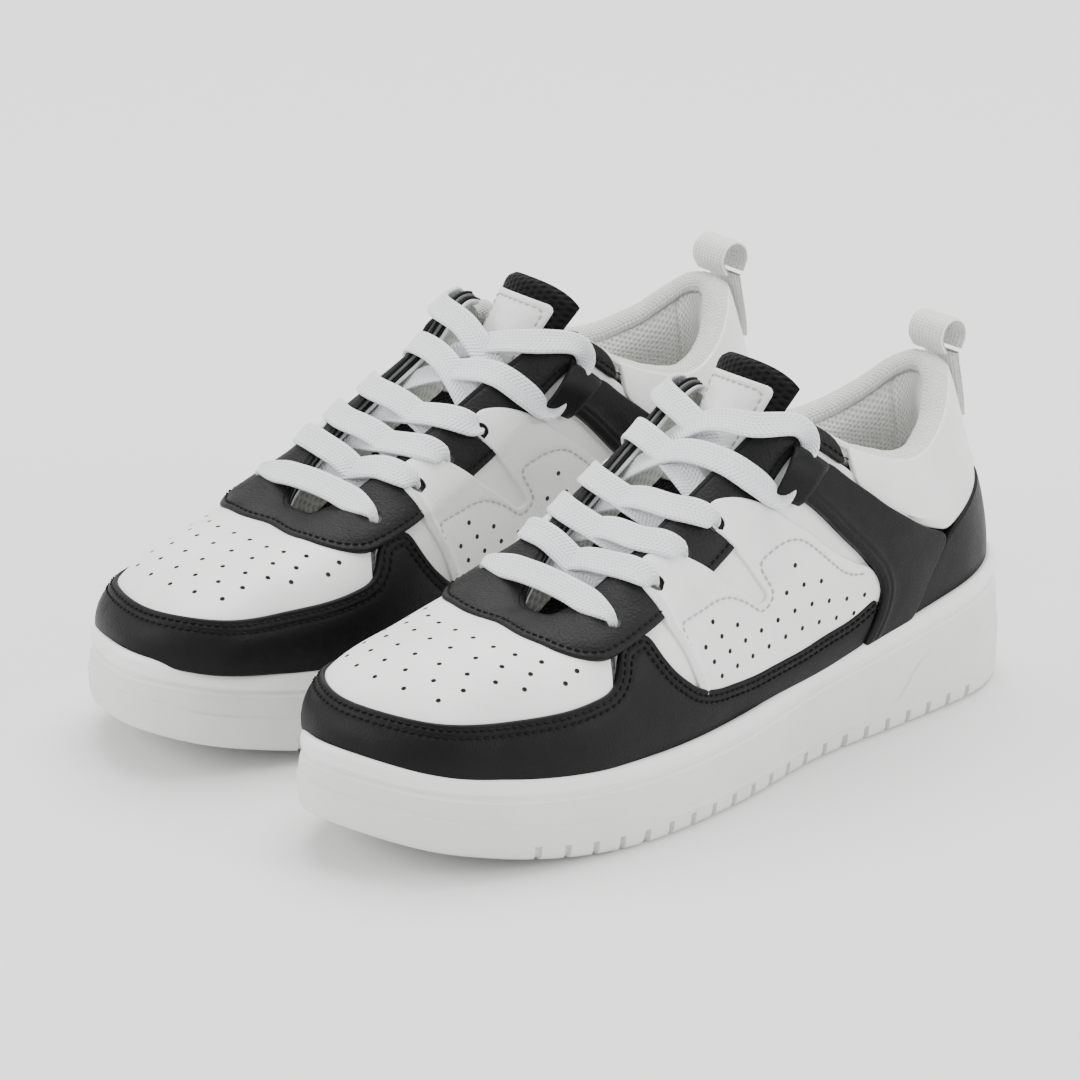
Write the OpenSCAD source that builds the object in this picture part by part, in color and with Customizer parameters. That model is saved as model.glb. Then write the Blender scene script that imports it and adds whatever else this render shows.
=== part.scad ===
// A pair of cheer shoes: cupsole sneakers with layered leather panels, a strap with a lace loop,
// criss-cross flat laces, a padded collar and a heel pull tab.
// Shoe frame: +X lateral (left shoe), +Y heel, -Y toe, +Z up, Z = 0 is the ground. Millimetres.

/* [Sole] */
// Outsole length from heel to toe
shoe_l = 277; // [240:1:300]
// Rise of the toe above the ground
toe_spring = 15; // [0:1:25]
// Where the toe starts to rise, as a part of the length from the heel
spring_start = 0.67; // [0.5:0.01:0.8]
// Thickness of the sole under the foam wedge
sole_floor = 7; // [4:0.5:12]
// Depth of the rounded band along the sole's top edge
rim_h = 9; // [4:0.5:14]
// Number of edge notches on each side
notch_count = 21; // [0:1:30]
// Distance between edge notches
notch_pitch = 9.8; // [5:0.1:14]
// Width of one edge notch
notch_w = 1.8; // [1:0.1:4]

/* [Upper] */
// Thickness of a leather panel
leather_t = 1.2; // [0.8:0.1:2]
// Thickness of the textile lining
lining_t = 0.9; // [0.5:0.1:2]
// Thickness of the collar foam at its fullest
collar_foam = 6; // [3:0.5:10]
// Thickness of the tongue
tongue_t = 6; // [3:0.5:10]

/* [Lace] */
// Width of the flat lace
lace_w = 8.5; // [5:0.5:12]
// Thickness of the flat lace
lace_t = 1.6; // [1:0.1:3]
// Diameter of a punched eyelet
eyelet_d = 5; // [3:0.5:7]

/* [Pair] */
// Middle of the left shoe, sideways
left_x = 55.1; // [50:0.1:80]
// Middle of the left shoe, lengthways
left_y = 2.8; // [-20:0.1:20]
// Middle of the right shoe, sideways
right_x = -53.4; // [-80:0.1:-40]
// Middle of the right shoe, lengthways
right_y = 5.3; // [-20:0.1:20]
// Turn of the right shoe away from the left one
right_turn = -2; // [-10:0.5:10]

/* [Hidden] */
heel_y = 134.5;
gap = 0.3;
n_st = 24;
white = [0.91, 0.92, 0.90];
black = [0.10, 0.10, 0.10];
grey = [0.25, 0.25, 0.25];
rubber = [0.82, 0.83, 0.80];

// Plan outline of the sole: [x, y], heel first, then the lateral side, the toe and the medial side.
outline_pts = [
    [-1, 134.5], [12, 132], [22, 125], [29, 115], [33.5, 100], [36, 68], [38, 28], [46.5, -11], [50.5, -48],
    [47.5, -80], [39, -108], [24, -131], [-8, -142.5], [-28, -131], [-38.5, -108], [-45.5, -80], [-46.5, -48],
    [-40, -11], [-34, 28], [-34, 68], [-32.5, 100], [-28.5, 115], [-22, 125], [-12.5, 132]
];

// Height of the sole's top edge at equal steps from heel to toe.
sole_top_z = [43, 39, 34.6, 30.5, 28.2, 27.5, 28.5, 32.2, 39.5];

// Meridians of the upper, heel first, then lateral, toe and medial.
// [foot x, foot y, top x, top y, top z, foot bulge, foot rise, top reach, top rise, top bulge]
meridians = [
    [0, 128, 0, 114, 107, 1, 20, 0, -26, 6],
    [15, 122.5, 11, 109, 105, 1, 20, 0, -26, 6],
    [25, 106, 22, 95, 94, 2, 18, 0, -18, 4],
    [29, 78, 29, 76, 89, 3, 15, 0, -14, 3],
    [31, 48, 28, 52, 97, 4, 16, 0, -16, 6],
    [34, 20, 23, 25, 113, 6, 20, 0.2, -14, 8],
    [38, -6, 19, 5, 102, 5, 20, 0.3, -10, 6],
    [42, -30, 19, -18, 89, 4, 18, 0.45, -5, 4],
    [44, -53, 18, -38, 77, 3, 20, 0.58, -2, 2],
    [43, -76, 15, -52, 68, 4, 22, 0.65, -1, 0],
    [36, -102, 11, -59, 64, 3, 22, 0.58, 0, 0],
    [22, -126, 7, -61, 63, 4, 21, 0.55, 0, 0],
    [-8, -135, 3, -61, 63, 5, 21, 0.55, 0, 0],
    [-30, -124, -2, -60, 63, 5, 25, 0.6, 0, 0],
    [-36, -101, -6, -57, 65, 4, 27, 0.7, 0, 0],
    [-40, -76, -10, -50, 69, 4, 26, 0.72, 0, 0],
    [-39, -53, -14, -38, 77, 4, 24, 0.65, -2, 2],
    [-34, -30, -17, -18, 89, 4, 18, 0.45, -5, 4],
    [-30, -6, -19, 5, 102, 5, 20, 0.3, -10, 6],
    [-28, 20, -23, 29, 111, 5, 20, 0.2, -14, 7],
    [-28, 48, -27, 52, 97, 4, 16, 0, -16, 6],
    [-29, 78, -28, 76, 89, 3, 15, 0, -14, 3],
    [-25, 106, -22, 95, 94, 2, 18, 0, -18, 4],
    [-15, 122.5, -11, 109, 105, 1, 20, 0, -26, 6]
];

// Eyelets on the lateral side, from the toe up: [meridian, height].
eyelet_uv = [[8.5, 0.73], [7.65, 0.76], [7.1, 0.78], [6.5, 0.79]];
// Lower and upper mouth of the lace loop.
loop_uv = [[5.4, 0.69], [4.84, 0.845]];

// ---------- curves ----------

function mod(i, n) = (i % n + n) % n;

function catmull(a, b, c, d, f) =
    0.5 * (2 * b + (c - a) * f + (2 * a - 5 * b + 4 * c - d) * f * f
        + (3 * b - 3 * c + d - a) * f * f * f);

function ring_at(list, u) =
    let (i = floor(u), f = u - i, n = len(list))
    catmull(list[mod(i - 1, n)], list[mod(i, n)], list[mod(i + 1, n)], list[mod(i + 2, n)], f);

function open_at(list, s) =
    let (n = len(list) - 1, w = min(max(s, 0), 1) * n, i = min(floor(w), n - 1), f = w - i,
        a = i > 0 ? list[i - 1] : 2 * list[0] - list[1],
        d = i < n - 1 ? list[i + 2] : 2 * list[n] - list[n - 1])
    catmull(a, list[i], list[i + 1], d, f);

function unit(v) = v / max(norm(v), 1e-9);

// ---------- sole shapes ----------

function sole_top(y) = open_at(sole_top_z, (heel_y - y) / shoe_l);

function sole_bottom(y) =
    toe_spring * pow(max((heel_y - y) / shoe_l - spring_start, 0) / (1 - spring_start), 2);

function outline_normal(k) =
    let (t = ring_at(outline_pts, k + 0.05) - ring_at(outline_pts, k - 0.05))
    unit([-t[1], t[0]]);

function outline(inset) =
    [for (k = [0 : 0.25 : len(outline_pts) - 0.25])
        ring_at(outline_pts, k) - inset * outline_normal(k)];

// Closed plan curve through the feet of the meridians, moved outwards.
function feather(out) = [for (u = [0 : 0.5 : n_st - 0.5]) let (p = upper(u, 0, out)) [p[0], p[1]]];

// The solid between two height curves, cut to a plan outline.
module slab(plan, low, high) {
    ys = [for (i = [0 : 40]) heel_y + 2 - i * (shoe_l + 4) / 40];
    lows = [for (y = ys) [y, low[1] + (low[0] == "top" ? sole_top(y) : sole_bottom(y))]];
    highs = [for (y = ys) [y, high[1] + (high[0] == "top" ? sole_top(y) : sole_bottom(y))]];
    intersection() {
        linear_extrude(height = 80) polygon(plan);
        rotate([90, 0, 90])
            translate([0, 0, -80])
                linear_extrude(height = 160)
                    polygon(concat(lows, [for (i = [40 : -1 : 0]) highs[i]]));
    }
}

module cupsole_body() {
    slab(outline(2), ["bottom", 0], ["bottom", 8]);
    slab(outline(0), ["bottom", 8], ["top", -rim_h]);
    slab(outline(2.6), ["top", -rim_h], ["top", 0]);
}

module edge_notches() {
    for (side = [1, -1])
        for (i = [0 : notch_count - 1])
            let (y = 100 - i * notch_pitch, x = side > 0 ? lateral_x(y) : medial_x(y))
                translate([x - side * 1.5, y, sole_bottom(y) + 1])
                    cube([7, notch_w, 9], center = true);
}

// Place of the sole's edge at y, on the lateral and on the medial side.
function lateral_x(y) = lookup(y, [for (k = [11 : -0.25 : 1]) let (p = ring_at(outline_pts, k)) [p[1], p[0]]]);
function medial_x(y) = lookup(y, [for (k = [13 : 0.25 : 23]) let (p = ring_at(outline_pts, k)) [p[1], p[0]]]);

// ---------- upper surface ----------

// Point of the upper: u runs round the shoe along the meridians, v from the sole (0) to the opening (1).
function skin(u, v) =
    let (m = ring_at(meridians, u),
        t = ring_at(meridians, u + 0.01) - ring_at(meridians, u - 0.01),
        out = unit([-t[1], t[0], 0]),
        foot = [m[0], m[1], sole_top(m[1]) - 4],
        top = [m[2], m[3], m[4]],
        reach = [m[0] - m[2], m[1] - m[3], 0],
        a = foot + m[5] * out + [0, 0, m[6]],
        b = top + m[7] * reach + m[9] * out + [0, 0, m[8]],
        w = 1 - v)
    w * w * w * foot + 3 * w * w * v * a + 3 * w * v * v * b + v * v * v * top;

function skin_normal(u, v) =
    let (h = 0.004,
        du = skin(u + h, v) - skin(u - h, v),
        dv = skin(u, min(v + h, 1)) - skin(u, max(v - h, 0)))
    unit(cross(dv, du));

function upper(u, v, off) = skin(u, v) + off * skin_normal(u, v);

function mirror_uv(list) = [for (i = [len(list) - 1 : -1 : 0]) [n_st - list[i][0], list[i][1]]];
function mirror_rails(rails) = [for (r = rails) mirror_uv(r)];
// Rails that run up the wall, moved to the medial side with their points still in order.
function other_side(rails) = [for (r = rails) [for (p = r) [n_st - p[0], p[1]]]];

// ---------- shells ----------

// A closed shell between an outer and an inner grid of points, both [column][row].
module shell(outer, inner, closed = false) {
    nc = len(outer);
    nr = len(outer[0]);
    flat = concat([for (c = outer) each c], [for (c = inner) each c]);
    half = nc * nr;
    last = closed ? nc - 1 : nc - 2;
    function id(j, i) = (j % nc) * nr + i;
    walls = [for (j = [0 : last]) for (i = [0 : nr - 2])
        each [[id(j, i), id(j, i + 1), id(j + 1, i + 1)], [id(j, i), id(j + 1, i + 1), id(j + 1, i)],
            [half + id(j, i), half + id(j + 1, i + 1), half + id(j, i + 1)],
            [half + id(j, i), half + id(j + 1, i), half + id(j + 1, i + 1)]]];
    rims = [for (j = [0 : last])
        each [[id(j, 0), id(j + 1, 0), half + id(j + 1, 0)], [id(j, 0), half + id(j + 1, 0), half + id(j, 0)],
            [id(j, nr - 1), half + id(j + 1, nr - 1), id(j + 1, nr - 1)],
            [id(j, nr - 1), half + id(j, nr - 1), half + id(j + 1, nr - 1)]]];
    ends = closed ? [] : [for (i = [0 : nr - 2])
        each [[id(0, i), half + id(0, i + 1), id(0, i + 1)], [id(0, i), half + id(0, i), half + id(0, i + 1)],
            [id(nc - 1, i), id(nc - 1, i + 1), half + id(nc - 1, i + 1)],
            [id(nc - 1, i), half + id(nc - 1, i + 1), half + id(nc - 1, i)]]];
    polyhedron(points = flat, faces = concat(walls, rims, ends), convexity = 8);
}

// Columns of [meridian, height] pairs made from rails, cols steps per span and rows steps between rails.
function rail_columns(rails, cols, rows) =
    let (n = len(rails[0]) - 1, m = len(rails) - 1)
    [for (j = [0 : n * cols])
        let (s = min(floor(j / cols), n - 1), f = j / cols - s)
        [for (i = [0 : m * rows])
            let (k = min(floor(i / rows), m - 1), g = i / rows - k,
                low = rails[k][s] * (1 - f) + rails[k][s + 1] * f,
                high = rails[k + 1][s] * (1 - f) + rails[k + 1][s + 1] * f)
            low * (1 - g) + high * g]];

// A panel of the upper between rails; outer and inner are heights above the surface, one or one per row.
module panel(rails, cols, rows, outer, inner) {
    uv = rail_columns(rails, cols, rows);
    function pick(h, i) = is_list(h) ? open_at(h, i / (len(uv[0]) - 1)) : h;
    shell([for (c = uv) [for (i = [0 : len(c) - 1]) upper(c[i][0], c[i][1], pick(outer, i))]],
        [for (c = uv) [for (i = [0 : len(c) - 1]) upper(c[i][0], c[i][1], pick(inner, i))]]);
}

// A sweep through rings of points, with flat ends.
module sweep(rings) {
    n = len(rings);
    k = len(rings[0]);
    faces = concat(
        [[for (i = [k - 1 : -1 : 0]) i]],
        [[for (i = [0 : k - 1]) (n - 1) * k + i]],
        [for (j = [0 : n - 2]) for (i = [0 : k - 1])
            let (i2 = (i + 1) % k)
            each [[j * k + i, j * k + i2, (j + 1) * k + i2], [j * k + i, (j + 1) * k + i2, (j + 1) * k + i]]]);
    polyhedron(points = [for (r = rings) each r], faces = faces, convexity = 10);
}

// ---------- sole parts ----------

module cupsole() {
    color(rubber)
        difference() {
            cupsole_body();
            slab(feather(0.6), ["bottom", sole_floor], ["top", 2]);
            edge_notches();
        }
}

module foam_wedge() {
    color(white)
        slab(feather(gap), ["bottom", sole_floor + gap], ["top", -6.6]);
}

module lasting_board() {
    color(white)
        slab(feather(gap), ["top", -6.3], ["top", -4.3]);
}

module insole() {
    color(white)
        slab(feather(-6), ["top", -4], ["top", -0.5]);
}

// ---------- leather panels ----------

layer_low = -1.2 - leather_t;
layer_mid = 0;
layer_top = leather_t + 0.6;

module base_panel(rails, cols, rows) {
    panel(rails, cols, rows, layer_low + leather_t, layer_low);
}

module mid_panel(rails, cols, rows) {
    panel(rails, cols, rows, layer_mid + leather_t, layer_mid);
}

module top_panel(rails, cols, rows) {
    panel(rails, cols, rows, layer_top + leather_t, layer_top);
}

// Round punched holes for the lace, lateral side then medial side.
module eyelets() {
    for (side = [1, -1])
        for (e = eyelet_uv)
            let (u = side > 0 ? e[0] : n_st - e[0], p = upper(u, e[1], 0), n = skin_normal(u, e[1]))
                translate(p)
                    rotate([0, acos(n[2]), atan2(n[1], n[0])])
                        cylinder(d = eyelet_d, h = 9, center = true, $fn = 10);
}

toe_rail_low = [[8.62, 0.30], [9.4, 0.26], [10.2, 0.24], [11, 0.24], [12, 0.24]];
toe_rail_high = [[8.62, 0.60], [9.1, 0.68], [10.1, 0.84], [11, 0.91], [12, 0.93]];

module toe_cap() {
    color(white)
        base_panel([concat(toe_rail_low, tail(mirror_uv(toe_rail_low))),
            concat(toe_rail_high, tail(mirror_uv(toe_rail_high)))], 3, 5);
}

function tail(list) = [for (i = [1 : len(list) - 1]) list[i]];

bumper_low = [[3.98, 0.1], [4.3, 0.1], [5, 0.1], [6, 0.1], [6.7, 0.1], [7.1, 0.1], [7.5, 0.1], [7.85, 0.1],
    [8.15, 0.1], [8.45, 0.1], [8.7, 0.1], [9.3, 0.1], [10, 0.1], [11, 0.1], [12, 0.1]];
bumper_high = [[3.82, 0.31], [4.16, 0.245], [5, 0.185], [6, 0.19], [6.7, 0.23], [7.06, 0.27], [7.6, 0.40],
    [7.94, 0.53], [8.2, 0.53], [8.45, 0.53], [8.6, 0.41], [9.3, 0.37], [10, 0.345], [11, 0.315], [12, 0.31]];

module bumper() {
    color(black)
        mid_panel([concat(bumper_low, tail(mirror_uv(bumper_low))),
            concat(bumper_high, tail(mirror_uv(bumper_high)))], 2, 4);
}

eyestay_low = [[4.25, 0.85], [4.75, 0.87], [5.3, 0.78], [6.2, 0.65], [6.9, 0.62], [7.6, 0.60], [8.3, 0.57],
    [8.75, 0.56], [9.1, 0.61], [10.1, 0.79], [11, 0.86], [12, 0.89]];
eyestay_high = [[4.3, 0.965], [4.8, 0.965], [5.3, 0.965], [6.2, 0.985], [6.9, 0.99], [7.6, 0.99], [8.2, 0.99],
    [8.7, 0.99], [9.2, 0.99], [10.1, 0.99], [11, 0.99], [12, 0.99]];

module eyestay() {
    color(grey)
        difference() {
            mid_panel([concat(eyestay_low, tail(mirror_uv(eyestay_low))),
                concat(eyestay_high, tail(mirror_uv(eyestay_high)))], 2, 3);
            eyelets();
        }
}

quarter_rails = [
    [[3.7, 0.02], [5, 0.02], [6, 0.02], [7, 0.02], [7.8, 0.02], [8.55, 0.02]],
    [[3.7, 0.5], [5, 0.5], [6, 0.5], [7, 0.5], [7.8, 0.5], [8.55, 0.5]],
    [[3.9, 0.83], [5, 0.88], [6, 0.98], [7, 0.98], [7.8, 0.98], [8.55, 0.98]]
];

module quarter(medial = false) {
    color(white)
        difference() {
            base_panel(medial ? mirror_rails(quarter_rails) : quarter_rails, 2, 2);
            eyelets();
        }
}

overlay_rails = [
    [[3.88, 0.34], [4.08, 0.285], [4.4, 0.25], [4.8, 0.215], [5.3, 0.20], [5.7, 0.20], [5.95, 0.205],
        [6.35, 0.225], [6.73, 0.25], [7.04, 0.285]],
    [[3.87, 0.40], [4.1, 0.38], [4.6, 0.40], [5.05, 0.44], [5.45, 0.45], [5.7, 0.43], [5.95, 0.32],
        [6.45, 0.42], [6.95, 0.55], [7.45, 0.58]],
    [[3.93, 0.46], [4.15, 0.49], [4.95, 0.56], [5.5, 0.69], [6.45, 0.88], [6.6, 0.82], [5.83, 0.42],
        [6.57, 0.6], [7.34, 0.86], [7.8, 0.88]]
];

module overlay(medial = false) {
    color(white)
        difference() {
            top_panel(medial ? mirror_rails(overlay_rails) : overlay_rails, 1, 3);
            eyelets();
        }
}

strap_rails = [
    [[3.15, 0.1], [3.02, 0.19], [2.82, 0.32], [2.47, 0.45], [3.36, 0.67], [4.0, 0.785], [4.6, 0.82]],
    [[3.92, 0.1], [3.76, 0.2], [3.68, 0.33], [3.81, 0.43], [4.1, 0.52], [4.6, 0.6], [5.12, 0.67]]
];

module strap(medial = false) {
    color(black)
        mid_panel(medial ? other_side(strap_rails) : strap_rails, 2, 4);
}

loop_rails = [
    [[5.12, 0.65], [4.86, 0.73], [4.6, 0.80]],
    [[5.5, 0.72], [5.28, 0.79], [5.05, 0.85]]
];

module lace_loop(medial = false) {
    color(black)
        panel(medial ? other_side(loop_rails) : loop_rails, 2, 6,
            [3.0, 5.8, 6.2, 5.6, 2.9], [1.6, 4.4, 5.0, 4.2, 1.6]);
}

counter_low = [[3.12, 0.1], [2.3, 0.1], [1.6, 0.1], [0.8, 0.1], [0, 0.1]];
counter_high = [[2.42, 0.43], [1.9, 0.47], [1.3, 0.49], [0.7, 0.5], [0, 0.5]];

module heel_counter() {
    color(black)
        mid_panel([concat(counter_low, tail(negative_uv(counter_low))),
            concat(counter_high, tail(negative_uv(counter_high)))], 2, 4);
}

function negative_uv(list) = [for (i = [len(list) - 1 : -1 : 0]) [-list[i][0], list[i][1]]];

module heel_stiffener() {
    low = [[3, 0.04], [2, 0.04], [1, 0.04], [0, 0.04]];
    high = [[2.6, 0.3], [2, 0.42], [1, 0.48], [0, 0.48]];
    color(white)
        panel([concat(low, tail(negative_uv(low))), concat(high, tail(negative_uv(high)))], 2, 3, -2.5, -3.3);
}

collar_low = [[4.08, 0.815], [3.36, 0.695], [2.42, 0.475], [1.9, 0.5], [1.2, 0.52], [0.6, 0.53], [0, 0.53]];
collar_high = [[4.12, 0.96], [3.4, 0.96], [2.6, 0.96], [1.9, 0.96], [1.2, 0.96], [0.6, 0.96], [0, 0.96]];

module collar_panel() {
    color(white)
        mid_panel([concat(collar_low, tail(negative_uv(collar_low))),
            concat(collar_high, tail(negative_uv(collar_high)))], 2, 3);
}

// ---------- soft collar and linings ----------

module collar_binding() {
    color(white)
        sweep([for (u = [5 : -0.4 : -5.01])
            let (p = skin(u, 1), n = skin_normal(u, 0.97), up = unit(skin(u, 1) - skin(u, 0.95)),
                mid = p - 4.2 * n - 2.4 * up)
            [for (a = [0 : 60 : 300]) mid + 3.6 * cos(a) * n + 3.4 * sin(a) * up]]);
}

module collar_padding() {
    rails = [[for (u = [4.5 : -0.6 : -4.51]) [u, 0.3]], [for (u = [4.5 : -0.6 : -4.51]) [u, 0.89]]];
    color(white)
        panel(rails, 1, 4, -4,
            [-5, -3 - collar_foam, -4 - collar_foam, -4 - collar_foam, -7]);
}

module collar_lining() {
    rails = [[for (u = [4.5 : -0.6 : -4.51]) [u, 0.02]], [for (u = [4.5 : -0.6 : -4.51]) [u, 0.3]],
        [for (u = [4.5 : -0.6 : -4.51]) [u, 0.89]]];
    deep = -4.4 - collar_foam;
    color(white)
        panel(rails, 1, 3, [-4, -4.4, -5.4, -5.6, deep, deep, -7.5],
            [-4.9, -5.3, -6.4, -6.8, deep - 1, deep - 1, -8.5]);
}

module vamp_lining() {
    rails = [[for (u = [4.8 : 0.6 : 19.21]) [u, 0.02]], [for (u = [4.8 : 0.6 : 19.21]) [u, 0.95]]];
    color(white)
        panel([mirror_uv(rails[0]), mirror_uv(rails[1])], 1, 5, -3.2, -3.2 - lining_t);
}

// ---------- tongue ----------

// Middle line of the tongue's front face, bottom to top: [y, z], and half its width.
tongue_line = [[-66, 52], [-48, 58], [-30, 66.5], [-12, 79], [4, 92], [18.8, 108.7], [28.6, 126.6]];
tongue_half = [13, 16, 19, 20, 13, 15, 18.5];
// How far the edges fall back round the ankle, as a part of the half width.
tongue_wrap = [0.16, 0.16, 0.16, 0.16, 0.25, 0.4, 0.6];
tongue_cut = 0.62;

function tongue_point(a, b, off) =
    let (c = open_at(tongue_line, b), t = open_at(tongue_line, b + 0.01) - open_at(tongue_line, b - 0.01),
        n = unit([0, -t[1], t[0]]), w = open_at(tongue_half, b), fall = open_at(tongue_wrap, b) * w * a * a)
    [2 - 3.5 * b + w * a, c[0], c[1]] + (off - fall) * n;

// A length of the tongue from b0 to b1 between two heights; side is the part of the width it covers.
module tongue_piece(b0, b1, steps, front, back, side) {
    function grid(off) = [for (i = [0 : 8])
        [for (j = [0 : steps]) tongue_point(side * (i / 4 - 1), b0 + (b1 - b0) * j / steps, off)]];
    shell(grid(front), grid(back));
}

module tongue() {
    color(black)
        tongue_piece(0, tongue_cut - 0.016, 8, -1, -tongue_t + 1, 1);
}

module tongue_top() {
    color(black)
        tongue_piece(tongue_cut, 1, 5, -1, -tongue_t, 1);
}

module tongue_label() {
    color(white)
        tongue_piece(tongue_cut + 0.02, 0.94, 4, 0.3, -0.7, 0.8);
}

// ---------- heel pull tab ----------

tab_w = 15;
tab_path = [[113, 109.2], [110.5, 114.5], [114, 119], [119, 118], [121.5, 113.5], [119.5, 109.6]];

function strip_ring(path, i, w, t) =
    let (a = path[max(i - 1, 0)], b = path[min(i + 1, len(path) - 1)], d = unit([b[0] - a[0], b[1] - a[1]]),
        n = [0, -d[1], d[0]], p = [0, path[i][0], path[i][1]])
    [p + [-w / 2, 0, 0] - t / 2 * n, p + [w / 2, 0, 0] - t / 2 * n,
        p + [w / 2, 0, 0] + t / 2 * n, p + [-w / 2, 0, 0] + t / 2 * n];

module strip(path, w, t) {
    sweep([for (i = [len(path) - 1 : -1 : 0]) strip_ring(path, i, w, t)]);
}

module pull_tab() {
    color(white)
        strip(tab_path, tab_w, 1.8);
}

module pull_tab_base() {
    color(white)
        strip([[118.2, 107.6], [119.4, 102], [120.8, 95], [121.6, 88]], tab_w, 1.6);
}

// ---------- lace ----------

function facing(side, e, off) = upper(side > 0 ? e[0] : n_st - e[0], e[1], off);
function facing_edge(side, u, off) = facing(side, [u, 1], off) + [-side * 1, 0, 0];

// Half of one crossing: out from under one facing, straight over the other one and down into its hole.
// The runs towards the lateral side lie on top.
function crossing(side, from, to) =
    let (a = facing(side, from, -5.4), b = facing_edge(side, from[0], -4.6),
        d = facing_edge(-side, to[0] + 0.45, 3.4), m = (b + d) / 2 + [0, 0, side > 0 ? 0.4 : 2.8])
    [concat(a, 3.4), concat(b, lace_w), concat(m, lace_w), concat(d, lace_w),
        concat(facing(-side, [to[0] + 0.25, (1 + to[1]) / 2], 4.2), lace_w),
        concat(facing(-side, [to[0] + 0.08, to[1] + 0.03], 4.3), lace_w * 0.8),
        concat(facing(-side, to, 3.2), 3.4), concat(facing(-side, to, -3.4), 3.4)];

function half_lace(side) =
    concat(
        crossing(side, eyelet_uv[0], eyelet_uv[1]),
        crossing(-side, eyelet_uv[1], eyelet_uv[2]),
        crossing(side, eyelet_uv[2], eyelet_uv[3]),
        top_run(side, eyelet_uv[3], loop_uv[0], loop_uv[1]));

// The last run: through the loop, back over the label and in behind the other facing.
function top_run(side, from, low, high) =
    let (a = facing(-side, from, -5.4), b = facing_edge(-side, from[0], -4.6), d = facing_edge(side, 6.1, 3.4),
        over = facing_edge(side, 5.45, 5.4), tuck = facing_edge(-side, 6.0, -6.2), lift = side > 0 ? 4.8 : 2.4)
    [concat(a, 3.4), concat(b, lace_w), concat((b + d) / 2 + [0, 0, lift], lace_w), concat(d, lace_w),
        concat(facing(side, [5.75, 0.81], 4.2), lace_w), concat(facing(side, low, 3.3), 6),
        concat(facing(side, (low + high) / 2, 3.2), 5.5), concat(facing(side, high, 3.4), 6),
        concat(facing(side, [4.98, 0.93], 5.2), 7.5), concat(over, lace_w),
        concat((over + tuck) / 2 + [0, 0, lift], lace_w), concat(tuck, lace_w),
        concat(facing(-side, [6.05, 0.84], -6.4), lace_w * 0.8)];

bar = [for (s = [-1, -0.66, -0.33, 0, 0.33, 0.66, 1])
    let (r = facing(1, eyelet_uv[0], 3.6), l = facing(-1, eyelet_uv[0], 3.6))
    concat((l + r) / 2 + s * (r - l) / 2 + [0, 0, 3.4 * (1 - s * s)], abs(s) > 0.9 ? 3.4 : lace_w)];

lace_path = concat(
    [for (i = [len(half_lace(-1)) - 1 : -1 : 0]) half_lace(-1)[i]],
    bar,
    half_lace(1));

function lace_ring(i) =
    let (n = len(lace_path), p = lace_path[i], a = lace_path[max(i - 1, 0)], b = lace_path[min(i + 1, n - 1)],
        t = unit([b[0] - a[0], b[1] - a[1], b[2] - a[2]]), c = [p[0], p[1], p[2]],
        across = unit(cross(t, [0.02 * p[0], -0.6, 0.8])), face = cross(across, t),
        x = p[3] / 2 * across, z = lace_t / 2 * face)
    [c - x - z, c + x - z, c + x + z, c - x + z];

module lace() {
    color(white)
        sweep([for (i = [0 : len(lace_path) - 1]) lace_ring(i)]);
}

// ---------- the pair ----------

module left() {
    translate([left_x, left_y, 0]) children();
}

module right() {
    translate([right_x, right_y, 0])
        rotate([0, 0, right_turn])
            mirror([1, 0, 0])
                children();
}

left() cupsole();  // left_cupsole
left() foam_wedge();  // left_foam_wedge
left() lasting_board();  // left_lasting_board
left() insole();  // left_insole
left() toe_cap();  // left_toe_cap
left() bumper();  // left_bumper
left() eyestay();  // left_eyestay
left() quarter();  // left_quarter_lateral
left() quarter(medial = true);  // left_quarter_medial
left() overlay();  // left_overlay_lateral
left() overlay(medial = true);  // left_overlay_medial
left() strap();  // left_strap_lateral
left() strap(medial = true);  // left_strap_medial
left() lace_loop();  // left_loop_lateral
left() lace_loop(medial = true);  // left_loop_medial
left() heel_counter();  // left_heel_counter
left() heel_stiffener();  // left_heel_stiffener
left() collar_panel();  // left_collar_panel
left() collar_binding();  // left_collar_binding
left() collar_padding();  // left_collar_padding
left() collar_lining();  // left_collar_lining
left() vamp_lining();  // left_vamp_lining
left() tongue();  // left_tongue
left() tongue_top();  // left_tongue_top
left() tongue_label();  // left_tongue_label
left() pull_tab_base();  // left_pull_tab_base
left() pull_tab();  // left_pull_tab
left() lace();  // left_lace
right() cupsole();  // right_cupsole
right() foam_wedge();  // right_foam_wedge
right() lasting_board();  // right_lasting_board
right() insole();  // right_insole
right() toe_cap();  // right_toe_cap
right() bumper();  // right_bumper
right() eyestay();  // right_eyestay
right() quarter();  // right_quarter_lateral
right() quarter(medial = true);  // right_quarter_medial
right() overlay();  // right_overlay_lateral
right() overlay(medial = true);  // right_overlay_medial
right() strap();  // right_strap_lateral
right() strap(medial = true);  // right_strap_medial
right() lace_loop();  // right_loop_lateral
right() lace_loop(medial = true);  // right_loop_medial
right() heel_counter();  // right_heel_counter
right() heel_stiffener();  // right_heel_stiffener
right() collar_panel();  // right_collar_panel
right() collar_binding();  // right_collar_binding
right() collar_padding();  // right_collar_padding
right() collar_lining();  // right_collar_lining
right() vamp_lining();  // right_vamp_lining
right() tongue();  // right_tongue
right() tongue_top();  // right_tongue_top
right() tongue_label();  // right_tongue_label
right() pull_tab_base();  // right_pull_tab_base
right() pull_tab();  // right_pull_tab
right() lace();  // right_lace
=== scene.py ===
"""Looks of a pair of cheer shoes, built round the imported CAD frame.

Every piece is shaped in the left shoe's own frame (millimetres, +X lateral, +Y heel, +Z up) and then placed
twice: shifted for the left shoe, and mirrored, turned and shifted for the right one.
"""

import math

import bpy
import numpy as np
from mathutils import Matrix, Vector, geometry, kdtree


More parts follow.
